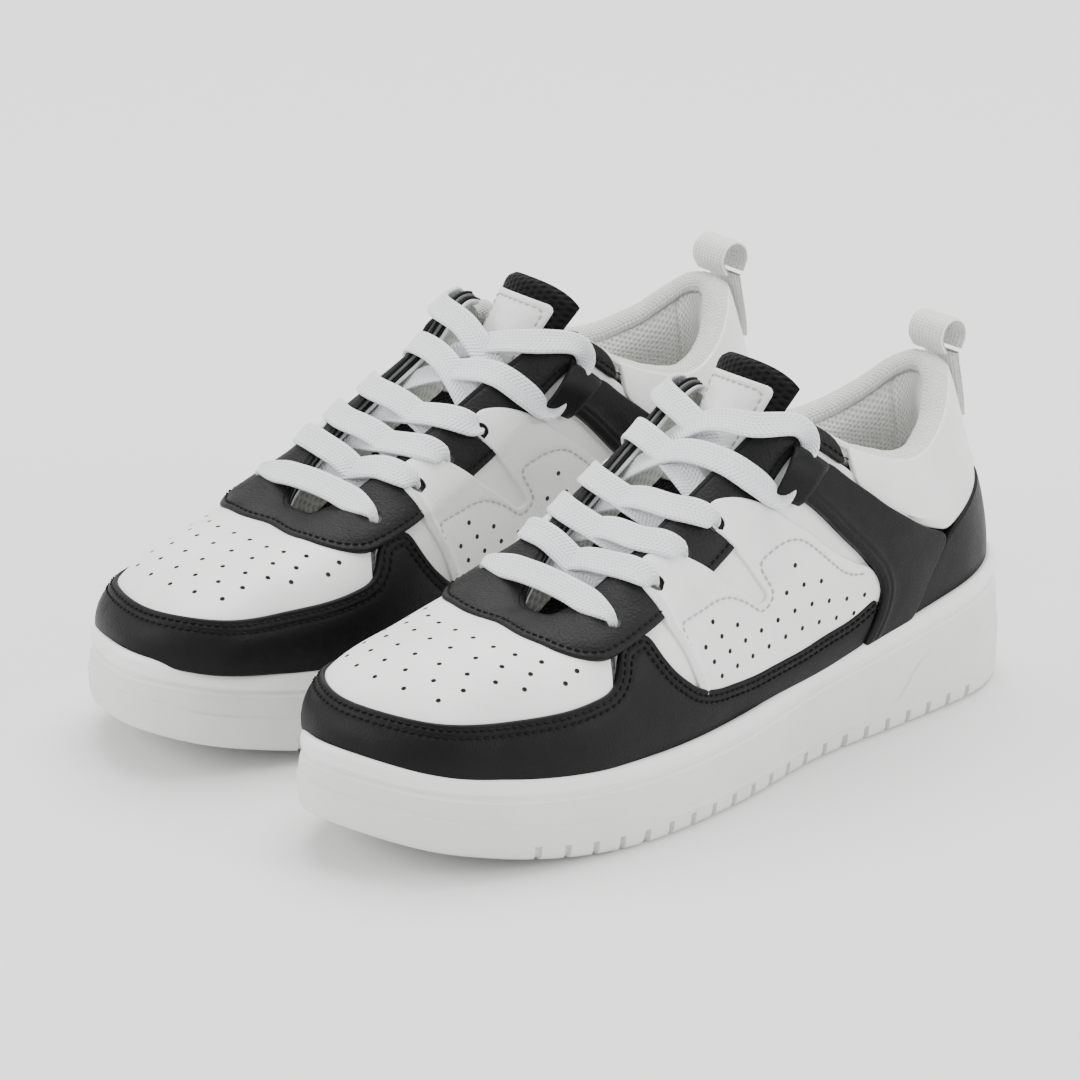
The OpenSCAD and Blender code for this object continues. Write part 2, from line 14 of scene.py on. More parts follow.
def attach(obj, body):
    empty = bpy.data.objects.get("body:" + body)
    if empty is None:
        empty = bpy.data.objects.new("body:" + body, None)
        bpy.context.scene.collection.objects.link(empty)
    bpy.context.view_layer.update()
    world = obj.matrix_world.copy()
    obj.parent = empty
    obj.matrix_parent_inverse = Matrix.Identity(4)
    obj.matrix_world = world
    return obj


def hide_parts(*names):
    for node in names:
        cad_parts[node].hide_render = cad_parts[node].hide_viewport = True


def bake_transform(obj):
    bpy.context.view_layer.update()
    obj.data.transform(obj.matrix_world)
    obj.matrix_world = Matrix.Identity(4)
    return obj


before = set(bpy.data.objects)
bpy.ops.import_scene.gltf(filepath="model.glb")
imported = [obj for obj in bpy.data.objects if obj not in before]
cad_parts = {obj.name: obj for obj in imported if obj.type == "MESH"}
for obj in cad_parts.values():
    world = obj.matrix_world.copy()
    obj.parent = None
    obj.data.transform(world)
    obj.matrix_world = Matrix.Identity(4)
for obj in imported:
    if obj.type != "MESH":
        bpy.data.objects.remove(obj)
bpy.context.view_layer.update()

# ---------------------------------------------------------------- driving sizes (mm)

HEEL_Y, SHOE_L = 134.5, 277.0
TOE_SPRING, SPRING_START = 15.0, 0.67
LEFT_AT = (55.1, 2.8)
RIGHT_AT, RIGHT_TURN = (-53.4, 5.3), -2.0
LEATHER = 1.3
LACE_W, LACE_T = 8.8, 1.7
N_ST = 24

OUTLINE = np.array([
    (-1, 134.5), (12, 132), (22, 125), (29, 115), (33.5, 100), (36, 68), (38, 28), (46.5, -11), (50.5, -48),
    (47.5, -80), (39, -108), (24, -131), (-8, -142.5), (-28, -131), (-38.5, -108), (-45.5, -80), (-46.5, -48),
    (-40, -11), (-34, 28), (-34, 68), (-32.5, 100), (-28.5, 115), (-22, 125), (-12.5, 132)], float)

SOLE_TOP_Z = np.array([43, 39, 34.6, 30.5, 28.2, 27.5, 28.5, 32.2, 39.5])

# foot x, foot y, top x, top y, top z, foot bulge, foot rise, top reach, top rise, top bulge
MERIDIANS = np.array([
    (0, 128, 0, 114, 107, 1, 20, 0, -26, 6),
    (15, 122.5, 11, 109, 105, 1, 20, 0, -26, 6),
    (25, 106, 22, 95, 94, 2, 18, 0, -18, 4),
    (29, 78, 29, 76, 89, 3, 15, 0, -14, 3),
    (31, 48, 28, 52, 97, 4, 16, 0, -16, 6),
    (34, 20, 23, 25, 113, 6, 20, 0.2, -14, 8),
    (38, -6, 19, 5, 102, 5, 20, 0.3, -10, 6),
    (42, -30, 19, -18, 89, 4, 18, 0.45, -5, 4),
    (44, -53, 18, -38, 77, 3, 20, 0.58, -2, 2),
    (43, -76, 15, -52, 68, 4, 22, 0.65, -1, 0),
    (36, -102, 11, -59, 64, 3, 22, 0.58, 0, 0),
    (22, -126, 7, -61, 63, 4, 21, 0.55, 0, 0),
    (-8, -135, 3, -61, 63, 5, 21, 0.55, 0, 0),
    (-30, -124, -2, -60, 63, 5, 25, 0.6, 0, 0),
    (-36, -101, -6, -57, 65, 4, 27, 0.7, 0, 0),
    (-40, -76, -10, -50, 69, 4, 26, 0.72, 0, 0),
    (-39, -53, -14, -38, 77, 4, 24, 0.65, -2, 2),
    (-34, -30, -17, -18, 89, 4, 18, 0.45, -5, 4),
    (-30, -6, -19, 5, 102, 5, 20, 0.3, -10, 6),
    (-28, 20, -23, 29, 111, 5, 20, 0.2, -14, 7),
    (-28, 48, -27, 52, 97, 4, 16, 0, -16, 6),
    (-29, 78, -28, 76, 89, 3, 15, 0, -14, 3),
    (-25, 106, -22, 95, 94, 2, 18, 0, -18, 4),
    (-15, 122.5, -11, 109, 105, 1, 20, 0, -26, 6)], float)

EYELETS = [(8.5, 0.73), (7.65, 0.76), (7.1, 0.78), (6.5, 0.79)]
LOOP_MOUTHS = [(5.4, 0.69), (4.84, 0.845)]


# ---------------------------------------------------------------- curves and the upper's surface

def catmull(a, b, c, d, f):
    return 0.5 * (2 * b + (c - a) * f + (2 * a - 5 * b + 4 * c - d) * f ** 2
                  + (3 * b - 3 * c + d - a) * f ** 3)


def ring_at(rows, u):
    """Smooth closed curve through the rows, at u rows from the first."""
    u = np.asarray(u, float)
    i = np.floor(u).astype(int)
    n = len(rows)
    return catmull(rows[(i - 1) % n], rows[i % n], rows[(i + 1) % n], rows[(i + 2) % n], (u - i)[..., None])


def open_at(rows, s):
    """Smooth open curve through the rows, s from 0 to 1."""
    rows = np.asarray(rows, float)
    n = len(rows) - 1
    padded = np.concatenate([[2 * rows[0] - rows[1]], rows, [2 * rows[-1] - rows[-2]]])
    w = np.clip(np.asarray(s, float), 0, 1) * n
    i = np.minimum(np.floor(w).astype(int), n - 1)
    f = w - i
    if rows.ndim > 1:
        f = f[..., None]
    return catmull(padded[i], padded[i + 1], padded[i + 2], padded[i + 3], f)


def unit(v):
    return v / np.maximum(np.linalg.norm(v, axis=-1, keepdims=True), 1e-9)


def sole_top(y):
    return open_at(SOLE_TOP_Z, (HEEL_Y - np.asarray(y, float)) / SHOE_L)


def sole_bottom(y):
    t = (HEEL_Y - np.asarray(y, float)) / SHOE_L
    return TOE_SPRING * (np.maximum(t - SPRING_START, 0) / (1 - SPRING_START)) ** 2


def skin(u, v):
    """Point of the upper's face: u runs round the shoe along the meridians, v from sole to opening."""
    u, v = np.broadcast_arrays(np.asarray(u, float), np.asarray(v, float))
    m = ring_at(MERIDIANS, u)
    t = ring_at(MERIDIANS, u + 0.01) - ring_at(MERIDIANS, u - 0.01)
    zero = np.zeros(u.shape + (1,))
    out = unit(np.concatenate([-t[..., 1:2], t[..., 0:1], zero], -1))
    foot = np.concatenate([m[..., 0:2], (sole_top(m[..., 1]) - 4)[..., None]], -1)
    top = m[..., 2:5]
    reach = np.concatenate([m[..., 0:2] - m[..., 2:4], zero], -1)
    a = foot + m[..., 5:6] * out + np.concatenate([zero, zero, m[..., 6:7]], -1)
    b = top + m[..., 7:8] * reach + m[..., 9:10] * out + np.concatenate([zero, zero, m[..., 8:9]], -1)
    v = v[..., None]
    w = 1 - v
    return w ** 3 * foot + 3 * w * w * v * a + 3 * w * v * v * b + v ** 3 * top


def skin_slopes(u, v):
    h = 0.004
    v = np.asarray(v, float)
    hi, lo = np.minimum(v + h, 1), np.maximum(v - h, 0)
    du = (skin(u + h, v) - skin(u - h, v)) / (2 * h)
    dv = (skin(u, hi) - skin(u, lo)) / (hi - lo)[..., None]
    return du, dv


def skin_normal(u, v):
    u, v = np.broadcast_arrays(np.asarray(u, float), np.asarray(v, float))
    du, dv = skin_slopes(u, v)
    return unit(np.cross(dv, du))


def upper(u, v, off):
    return skin(u, v) + np.asarray(off, float)[..., None] * skin_normal(u, v)


# ---------------------------------------------------------------- meshes and placing

def place_left(p):
    return (p + np.array([LEFT_AT[0], LEFT_AT[1], 0])) / 1000


def place_right(p):
    a = math.radians(RIGHT_TURN)
    x, y = -p[:, 0], p[:, 1]
    return np.stack([x * math.cos(a) - y * math.sin(a) + RIGHT_AT[0],
                     x * math.sin(a) + y * math.cos(a) + RIGHT_AT[1], p[:, 2]], -1) / 1000


PLACES = {"left": place_left, "right": place_right}


class Shape:
    """Vertices (mm, shoe frame), faces, a texture position for each vertex and a material for each face."""

    def __init__(self):
        self.points, self.marks, self.faces, self.slots = [], [], [], []
        self.count = 0

    def add(self, points, faces, marks=None, slot=0):
        points = np.asarray(points, float).reshape(-1, 3)
        marks = np.zeros((len(points), 2)) if marks is None else np.asarray(marks, float).reshape(-1, 2)
        self.points.append(points)
        self.marks.append(marks)
        self.faces += [tuple(int(i) + self.count for i in f) for f in faces]
        self.slots += [slot] * len(faces)
        self.count += len(points)

    def grid(self, points, marks=None, slot=0, wrap_rows=False, wrap_cols=False):
        """Quads over an array of points [row][column]."""
        nr, nc = points.shape[:2]
        faces = []
        for i in range(nr if wrap_rows else nr - 1):
            for j in range(nc if wrap_cols else nc - 1):
                i2, j2 = (i + 1) % nr, (j + 1) % nc
                faces.append((i * nc + j, i * nc + j2, i2 * nc + j2, i2 * nc + j))
        self.add(points.reshape(-1, 3), faces, None if marks is None else marks.reshape(-1, 2), slot)


def make(shape, name, materials, body="shoe", replaces=(), sharp=40.0):
    """Makes the piece on both shoes and returns the two objects."""
    made = []
    points, marks = np.concatenate(shape.points), np.concatenate(shape.marks)
    for side in ("left", "right"):
        placed = PLACES[side](points)
        faces = shape.faces if side == "left" else [f[::-1] for f in shape.faces]
        mesh = bpy.data.meshes.new(f"{side}_{name}")
        mesh.from_pydata(placed.tolist(), [], faces)
        layer = mesh.uv_layers.new(name="mm")
        corner = np.zeros(len(mesh.loops), int)
        mesh.loops.foreach_get("vertex_index", corner)
        layer.data.foreach_set("uv", marks[corner].astype(np.float32).ravel())
        for m in materials:
            mesh.materials.append(m)
        mesh.polygons.foreach_set("material_index", np.array(shape.slots, np.int32))
        mesh.polygons.foreach_set("use_smooth", np.ones(len(mesh.polygons), bool))
        mesh.set_sharp_from_angle(angle=math.radians(sharp))
        mesh.update()
        piece = bpy.data.objects.new(f"{side}_{name}", mesh)
        bpy.context.scene.collection.objects.link(piece)
        if body is not None:
            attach(piece, f"{side}_{body}")
        if replaces:
            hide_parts(*[f"{side}_{r}" for r in replaces])
        made.append(piece)
    return made


# ---------------------------------------------------------------- lines and panels on the upper

def mirrored(line):
    """The same line on the medial side."""
    return [(N_ST - p[0],) + tuple(p[1:]) for p in reversed(line)]


def rounded(points, radius, closed):
    """The line with each corner rounded; a point may give its own radius in mm as a third value."""
    pts = [np.array(p[:2], float) for p in points]
    radii = [p[2] if len(p) > 2 else radius for p in points]
    n = len(pts)
    out = []
    for i in range(n):
        if not closed and i in (0, n - 1):
            out.append(pts[i])
            continue
        a, b, c = pts[i - 1], pts[i], pts[(i + 1) % n]
        pa, pb, pc = (skin(*q) for q in (a, b, c))
        la, lc = np.linalg.norm(pa - pb), np.linalg.norm(pc - pb)
        cut = min(radii[i], 0.5 * la, 0.5 * lc)
        s, e = b + (a - b) * cut / max(la, 1e-6), b + (c - b) * cut / max(lc, 1e-6)
        steps = max(2, int(cut / 0.8) + 2)
        for f in np.linspace(0, 1, steps):
            out.append((1 - f) ** 2 * s + 2 * f * (1 - f) * b + f * f * e)
    return np.array(out)


def resampled(uv, step, closed=False, off=0.0):
    """Points along a line on the upper at even distances."""
    if closed:
        uv = np.concatenate([uv, uv[:1]])
    fine = np.concatenate([np.linspace(uv[i], uv[i + 1], 12,
                                       endpoint=False) for i in range(len(uv) - 1)] + [uv[-1:]])
    p = upper(fine[:, 0], fine[:, 1], off)
    d = np.concatenate([[0], np.cumsum(np.linalg.norm(np.diff(p, axis=0), axis=1))])
    n = max(3, int(round(d[-1] / step)))
    at = np.linspace(0, d[-1], n + 1)
    if closed:
        at = at[:-1]
    return np.stack([np.interp(at, d, fine[:, 0]), np.interp(at, d, fine[:, 1])], -1)


def to_uv(uv, vectors):
    """Turns small steps on the upper, in mm, into steps of u and v."""
    du, dv = skin_slopes(uv[:, 0], uv[:, 1])
    a, b, c = (du * du).sum(-1), (du * dv).sum(-1), (dv * dv).sum(-1)
    p, q = (vectors * du).sum(-1), (vectors * dv).sum(-1)
    det = a * c - b * b
    return np.stack([(p * c - q * b) / det, (q * a - p * b) / det], -1)


def inside(points, loop):
    """Which points lie inside a closed loop, in the plane."""
    x, y = points[:, 0], points[:, 1]
    hit = np.zeros(len(points), bool)
    for a, b in zip(loop, np.roll(loop, -1, axis=0)):
        cross = (a[1] > y) != (b[1] > y)
        if cross.any():
            hit[cross] ^= x[cross] < (b[0] - a[0]) * (y[cross] - a[1]) / (b[1] - a[1]) + a[0]
    return hit


def near(points, targets):
    """Distance from each point to the nearest of the targets."""
    if len(targets) == 0:
        return np.full(len(points), 1e3)
    tree = kdtree.KDTree(len(targets))
    for i, t in enumerate(targets):
        tree.insert(t, i)
    tree.balance()
    return np.array([tree.find(p)[2] for p in points])


def marks_of(uv):
    """Texture position in mm: along the shoe and up the wall."""
    return np.stack([uv[:, 0] * 14.0, uv[:, 1] * 62.0], -1)


def panel(outline, top=LEATHER, low=-0.3, radius=2.0, edge=0.5, puff=0.0, lines=(), holes=(), grid=2.6,
          shape=None, slots=(0, 1)):
    """A leather panel on the upper: rounded edge, sunk or raised lines, punched holes, a soft rise between.

    top is its height above the surface, a number or a function of the places; low is the foot of its edge.
    Each of lines is (places, height, width) and each of holes is (u, v, radius)."""
    shape = shape or Shape()
    ring = resampled(rounded(outline, radius, True), 1.3, True)
    high_at = top if callable(top) else lambda uv: np.full(len(uv), float(top))
    p = skin(ring[:, 0], ring[:, 1])
    along = unit(np.roll(p, -1, 0) - np.roll(p, 1, 0))
    inward = np.cross(skin_normal(ring[:, 0], ring[:, 1]), along)
    area = (ring[:, 0] * np.roll(ring[:, 1], -1) - np.roll(ring[:, 0], -1) * ring[:, 1]).sum()
    turned = area > 0
    if turned:
        inward = -inward
    step_in = to_uv(ring, inward)
    holes = np.array(holes, float).reshape(-1, 3)
    centres = skin(holes[:, 0], holes[:, 1])
    line_points = [skin(line[:, 0], line[:, 1]) for line, _, _ in lines]

    def height(uv, flat, from_edge):
        h = high_at(uv)
        clear = from_edge
        for (_, rise, width), places in zip(lines, line_points):
            d = near(flat, places)
            h = h + rise * np.exp(-(d / width) ** 2)
            clear = np.minimum(clear, d)
        return h + puff * (1 - np.exp(-clear / 3.5))

    stack, marks = [], []
    for d, fall in ((0.0, None), (0.0, edge), (0.13 * edge, 0.5 * edge), (0.5 * edge, 0.13 * edge),
                    (edge, 0.0)):
        uv = ring + step_in * d
        h = np.full(len(uv), low) if fall is None else high_at(uv) - fall
        stack.append(upper(uv[:, 0], uv[:, 1], h))
        marks.append(marks_of(uv))
    stack, marks = np.stack(stack), np.stack(marks)
    if turned:
        stack, marks = stack[:, ::-1], marks[:, ::-1]
    shape.grid(stack, marks, slots[0], wrap_cols=True)

    rim = ring + step_in * edge
    rim_flat = skin(rim[:, 0], rim[:, 1])
    du, dv = skin_slopes(rim[:, 0], rim[:, 1])
    scale = np.array([np.linalg.norm(du, axis=1).mean(), np.linalg.norm(dv, axis=1).mean()])
    lo, hi = (rim * scale).min(0), (rim * scale).max(0)
    gx, gy = np.meshgrid(np.arange(lo[0], hi[0], grid), np.arange(lo[1], hi[1], grid * 0.87))
    gx = gx + (np.arange(len(gx))[:, None] % 2) * grid / 2
    free = np.stack([gx.ravel(), gy.ravel()], -1) / scale
    if lines:
        clear = near(skin(free[:, 0], free[:, 1]), np.concatenate(line_points)) > 2.4
        beads = [beside(line, w * width) for line, _, width in lines for w in (-2, -1, 0, 1, 2)]
        free = np.concatenate([free[clear]] + beads)
    free = free[inside(free, rim)]
    flat = skin(free[:, 0], free[:, 1])
    keep = near(flat, rim_flat) > 0.7
    for centre, r in zip(centres, holes[:, 2]):
        keep &= np.linalg.norm(flat - centre, axis=1) > r + 0.5
    free = free[keep]
    loops = []
    for (u, v, r), sides in zip(holes, np.where(holes[:, 2] > 1.5, 18, 10)):
        n = skin_normal(u, v)
        x = unit(np.cross(n, [0.02, 0.0, 1.0]))
        angles = np.arange(sides) * 2 * math.pi / sides
        around = r * (np.cos(angles)[:, None] * x + np.sin(angles)[:, None] * np.cross(n, x))
        centre = np.repeat([[u, v]], sides, 0)
        loops.append(centre + to_uv(centre, around))
    spots = np.concatenate([rim, *loops, free])
    edges = [(i, (i + 1) % len(rim)) for i in range(len(rim))]
    start = len(rim)
    for loop in loops:
        edges += [(start + i, start + (i + 1) % len(loop)) for i in range(len(loop))]
        start += len(loop)
    flat = [Vector((float(a), float(b))) for a, b in spots * scale]
    verts, _, faces, origin, _, _ = geometry.delaunay_2d_cdt(flat, edges, [], 1, 1e-5)
    uv = np.array([spots[o[0]] if o else np.array(v) / scale for v, o in zip(verts, origin)])
    faces = np.array([tuple(f) for f in faces])
    middles = uv[faces].mean(1)
    for (u, v, r), centre in zip(holes, centres):
        far = np.linalg.norm(skin(middles[:, 0], middles[:, 1]) - centre, axis=1) > r * 0.9
        faces, middles = faces[far], middles[far]
    flat = skin(uv[:, 0], uv[:, 1])
    h = height(uv, flat, near(flat, rim_flat))
    on_rim = np.array([bool(o) and o[0] < len(rim) for o in origin])
    h[on_rim] = high_at(uv[on_rim])
    a, b = uv[faces[:, 1]] - uv[faces[:, 0]], uv[faces[:, 2]] - uv[faces[:, 0]]
    wrong = a[:, 0] * b[:, 1] - a[:, 1] * b[:, 0] > 0
    faces[wrong] = faces[wrong][:, ::-1]
    shape.add(upper(uv[:, 0], uv[:, 1], h), faces, marks_of(uv), slots[0])
    # Each hole gets a 1 mm wall and a floor in the second material, which is dark: painted shade inside the
    # hole.
    for loop in loops:
        flat = skin(loop[:, 0], loop[:, 1])
        h = height(loop, flat, near(flat, rim_flat))
        wall = np.stack([upper(loop[:, 0], loop[:, 1], h), upper(loop[:, 0], loop[:, 1], h - 1.0)])
        shape.grid(wall[:, ::-1], None, slots[1], wrap_cols=True)
        shape.add(wall[1], [tuple(range(len(loop)))], None, slots[1])
    return shape


def seam(points, radius=4.0, step=1.0):
    """A smooth line on the upper, for a seam or a row of stitches."""
    return resampled(rounded(points, radius, False), step)


def beside(line, distance):
    """The same line moved sideways by some mm."""
    p = skin(line[:, 0], line[:, 1])
    side = np.cross(skin_normal(line[:, 0], line[:, 1]), unit(np.gradient(p, axis=0)))
    return line + to_uv(line, side) * distance


def stitches(shape, line, height, pitch=2.6, length=1.9, width=0.7):
    """A row of thread stitches along a line on the upper; height is a number or a function of the places."""
    h = height(line) if callable(height) else np.full(len(line), float(height))
    bead_row(shape, upper(line[:, 0], line[:, 1], h), skin_normal(line[:, 0], line[:, 1]), pitch, length,
             width)


def bead_row(shape, path, normals, pitch=2.6, length=1.9, width=0.7):
    """Short rounded beads of thread along a path, each dipping into the leather at both ends."""
    d = np.concatenate([[0], np.cumsum(np.linalg.norm(np.diff(path, axis=0), axis=1))])
    count = int(d[-1] // pitch)
    along = np.array([0.0, 0.12, 0.5, 0.88, 1.0])
    thick = np.array([0.25, 0.8, 1.0, 0.8, 0.25]) * width / 2
    dip = np.array([-0.35, -0.08, 0.08, -0.08, -0.35])
    angles = np.arange(6) * math.pi / 3
    for i in range(count):
        at = (d[-1] - count * pitch) / 2 + i * pitch + (pitch - length) / 2 + along * length
        c = np.stack([np.interp(at, d, path[:, k]) for k in range(3)], -1)
        m = unit(np.stack([np.interp(at, d, normals[:, k]) for k in range(3)], -1))
        side = np.cross(m, unit(c[-1] - c[0]))
        c = c + m * dip[:, None]
        ring = c[:, None] + thick[:, None, None] * (np.cos(angles)[None, :, None] * side[:, None]
                                                    + np.sin(angles)[None, :, None] * m[:, None])
        marks = np.stack([np.repeat(at[:, None], 6, 1), np.repeat(angles[None] * width, 5, 0)], -1)
        shape.grid(ring[:, ::-1], marks, 0, wrap_cols=True)


def tube(shape, centres, across, lift, half_w, half_h, n=12, slot=0, closed=False, power=1.0, twist_mark=1.0):
    """A sweep of an oval along centres; across and lift are its two directions."""
    angles = np.arange(n) * 2 * math.pi / n
    c, s = np.cos(angles), np.sin(angles)
    c, s = np.sign(c) * np.abs(c) ** power, np.sign(s) * np.abs(s) ** power
    half_w, half_h = np.broadcast_to(half_w, (len(centres),)), np.broadcast_to(half_h, (len(centres),))
    ring = (centres[:, None] + half_w[:, None, None] * c[None, :, None] * across[:, None]
            + half_h[:, None, None] * s[None, :, None] * lift[:, None])
    d = np.concatenate([[0], np.cumsum(np.linalg.norm(np.diff(centres, axis=0), axis=1))])
    marks = np.stack([np.repeat(d[:, None], n, 1), half_w[:, None] * c[None, :] * twist_mark
                      + (s < -0.01)[None, :] * 30.0], -1)
    shape.grid(ring[:, ::-1], marks[:, ::-1], slot, wrap_cols=True, wrap_rows=closed)
    if not closed:
        shape.add(ring[0], [tuple(range(n))], marks[0], slot)
        shape.add(ring[-1], [tuple(range(n - 1, -1, -1))], marks[-1], slot)


# ---------------------------------------------------------------- the sole

NOTCHES, NOTCH_PITCH, NOTCH_START = 21, 9.8, 100.0

# The rounded band along the sole's top edge: (inset, depth below the top edge).
RIM = [(4.6, 0.35), (3.8, 0.05), (3.0, 0.1), (2.3, 0.45), (1.75, 1.1), (1.4, 2.0), (1.25, 3.2), (1.35, 4.5),
       (1.6, 5.4), (2.3, 5.9), (2.75, 6.4), (2.7, 6.9), (1.8, 7.3), (1.25, 7.9)]

# Height of the moulded line round the sole above its underside: (y, height).
LINE_HEIGHT = [(-143, 11.6), (-57, 11.4), (-53, 10.4), (-48, 7.4), (-40, 6.7), (20, 6.9), (50, 7.8),
               (62, 8.6),
               (66, 10.4), (76, 20.6), (82, 22.3), (90, 22.0), (102, 20.4), (118, 19.4), (135, 19)]


def smooth_step(x):
    x = np.clip(x, 0, 1)
    return x * x * (3 - 2 * x)


def edge_place(y, lateral):
    """Place along the outline where the sole's edge passes y."""
    k = np.linspace(0.6, 11.4, 800) if lateral else np.linspace(23.4, 12.6, 800)
    return np.interp(-np.asarray(y, float), -ring_at(OUTLINE, k)[:, 1], k)


def outline_normal(k):
    t = ring_at(OUTLINE, k + 0.02) - ring_at(OUTLINE, k - 0.02)
    return unit(np.stack([-t[:, 1], t[:, 0]], -1))


def nearest_feather(p):
    """The point of the upper's foot nearest each point of the outline."""
    u = np.linspace(0, N_ST, 1200, endpoint=False)
    foot = upper(u, np.zeros(len(u)), np.full(len(u), 0.2))[:, :2]
    d = ((p[:, None] - foot[None]) ** 2).sum(-1)
    return foot[d.argmin(1)]


def sole():
    fine = np.linspace(0, N_ST, 4800, endpoint=False)
    p = ring_at(OUTLINE, fine)
    d = np.concatenate([[0], np.cumsum(np.linalg.norm(np.diff(p, axis=0), axis=1))])
    k = list(np.interp(np.arange(0, d[-1], 1.6), d, fine))
    ys = NOTCH_START - np.arange(NOTCHES) * NOTCH_PITCH
    for lateral in (True, False):
        for dy in (-1.15, -0.85, 0.85, 1.15):
            k += list(edge_place(ys + dy, lateral))
    k = np.array(sorted(k))
    k = k[np.concatenate([[True], np.diff(k) > 0.004])]
    o, n = ring_at(OUTLINE, k), outline_normal(k)
    y = o[:, 1]
    top, low = sole_top(y), sole_bottom(y)
    line = np.interp(y, *np.array(LINE_HEIGHT).T)
    cut = np.clip((1.15 - np.abs(y[:, None] - ys[None]).min(1)) / 0.3, 0, 1)
    foot = nearest_feather(o)
    rows = [(foot, top - 5), (foot, top - 1.6)]
    rows.append((0.6 * foot + 0.4 * (o - 4.6 * n), top - 0.7))
    rows += [(o - i * n, top - h) for i, h in RIM]
    start = top - 7.9 - low
    for f in np.linspace(0.12, 1, 8):
        inset = 1.25 - 0.6 * f - 0.2 * math.sin(math.pi * f)
        rows.append((o - inset * n, low + start + (line + 0.55 - start) * f))
    rows += [(o - 0.62 * n, low + line + 0.3), (o + 0.0 * n, low + line - 0.1),
             (o + 0.04 * n, low + line - 0.6)]
    for f in (0.3, 0.65, 1.0):
        rows.append((o - 0.25 * f * n, low + line - 0.5 + (5.9 + 0.5 - line) * f))
    for inset, h in ((0.3, 5.2), (0.4, 3.6), (0.6, 2.2), (1.0, 1.1), (1.8, 0.4), (3.0, 0.0)):
        deep = 1.8 * cut * smooth_step((5.0 - h) / 0.7)
        rows.append((o - (inset + deep)[:, None] * n, low + h))
    for inset, h in ((8.6, 0.0), (9.2, 1.8)):
        rows.append((o - inset * n, low + h))
    spine = np.stack([0.5 * (np.interp(y, [-120, 0, 120], [-4, 0, 0])), np.clip(y, -112, 108)], -1)
    rows.append((0.5 * (o - 9.2 * n) + 0.5 * spine, sole_bottom(0.5 * y + 0.5 * spine[:, 1]) + 1.8))
    rows.append((spine, sole_bottom(spine[:, 1]) + 1.8))
    grid = np.stack([np.concatenate([xy, np.broadcast_to(z, (len(k),))[:, None]], -1) for xy, z in rows])
    along = np.interp(k, fine, d)
    down = np.concatenate([[0], np.cumsum(np.linalg.norm(np.diff(grid, axis=0), axis=2).mean(1))])
    marks = np.stack(np.broadcast_arrays(along[None], down[:, None]), -1)
    shape = Shape()
    rim_rows = 3 + len(RIM)
    # The rim band takes the lighter rubber copy (painted highlight); the wall and tread take the darker one.
    shape.grid(grid[:rim_rows], marks[:rim_rows], 0, wrap_cols=True)
    shape.grid(grid[rim_rows - 1:], marks[rim_rows - 1:], 1, wrap_cols=True)
    for y0 in np.arange(-116, 112, 8.4):
        lateral, medial = (ring_at(OUTLINE, edge_place(y0, side))[0] for side in (True, False))
        a = np.linspace(-1, 1, 15)
        x = (lateral + medial) / 2 + a * ((lateral - medial) / 2 - 11.5)
        chevron(shape, x, y0 + 4.5 * np.abs(a) - 2)
    return shape


def chevron(shape, x, y):
    """One V-shaped bar of the tread."""
    rows = []
    for w, h in ((2.7, 1.9), (2.3, 0.15), (1.9, 0.0), (-1.9, 0.0), (-2.3, 0.15), (-2.7, 1.9)):
        rows.append(np.stack([x, y + w, sole_bottom(y + w) + h], -1))
    rows = np.stack(rows)
    shape.grid(rows, rows[..., :2], 1)
    for end in (0, -1):
        shape.add(rows[:, end], [tuple(range(6))[::1 if end == 0 else -1]], rows[:, end, :2], 1)


def insole():
    """The padded insole, a sheet over the inside of the sole."""
    u = np.linspace(0, N_ST, 180, endpoint=False)
    edge = upper(u, np.full(len(u), 0.03), np.full(len(u), -3.4))
    spine = np.stack([np.interp(edge[:, 1], [-120, 0, 120], [-4, 0, 0]), np.clip(edge[:, 1], -112, 108)], -1)
    rows = []
    for f, z in ((0, 2.5), (0.04, 1.2), (0.12, 0.2), (0.3, -0.4), (0.55, -0.5), (0.8, -0.5), (1, -0.5)):
        xy = (1 - f) * edge[:, :2] + f * spine
        rows.append(np.concatenate([xy, (sole_top(xy[:, 1]) + z)[:, None]], -1))
    rows = np.stack(rows)
    shape = Shape()
    shape.grid(rows, rows[..., :2], 0, wrap_cols=True)
    return shape


# ---------------------------------------------------------------- the leather upper

TOE_LOW = [(8.62, 0.30), (9.4, 0.26), (10.2, 0.24), (11, 0.24), (12, 0.24)]
TOE_HIGH = [(8.62, 0.60), (9.1, 0.68), (10.1, 0.84), (11, 0.91), (12, 0.93)]
BUMPER_HIGH = [(3.7, 0.32), (4.16, 0.245), (5, 0.19), (6, 0.195), (6.7, 0.23), (7.06, 0.27), (7.6, 0.40, 12),
               (7.97, 0.60, 4), (8.47, 0.60, 4), (8.56, 0.42, 9), (9.3, 0.37), (10, 0.345), (11, 0.315),
               (12, 0.31)]
EYESTAY_LOW = [(4.25, 0.85), (4.75, 0.87), (5.3, 0.78), (6.2, 0.65), (6.9, 0.62), (7.6, 0.60), (8.3, 0.57, 6),
               (8.75, 0.56, 7), (9.1, 0.61, 8), (10.1, 0.79), (11, 0.86), (12, 0.89)]
OVERLAY = [(3.8, 0.2), (5.5, 0.14), (7.0, 0.2), (7.04, 0.28), (7.26, 0.42), (7.59, 0.58), (7.93, 0.83, 4),
           (7.68, 0.93, 4), (7.36, 0.86, 5), (6.57, 0.60), (5.84, 0.415, 1.6), (5.68, 0.425, 1.6),
           (6.62, 0.80, 4),
           (6.53, 0.90, 4), (6.0, 0.80, 5), (5.55, 0.69), (5.19, 0.60), (4.63, 0.52), (3.91, 0.46),
           (3.6, 0.35)]
OVERLAY_RIB = [(7.0, 0.24), (7.04, 0.28), (7.26, 0.42), (7.59, 0.58), (7.93, 0.83)]
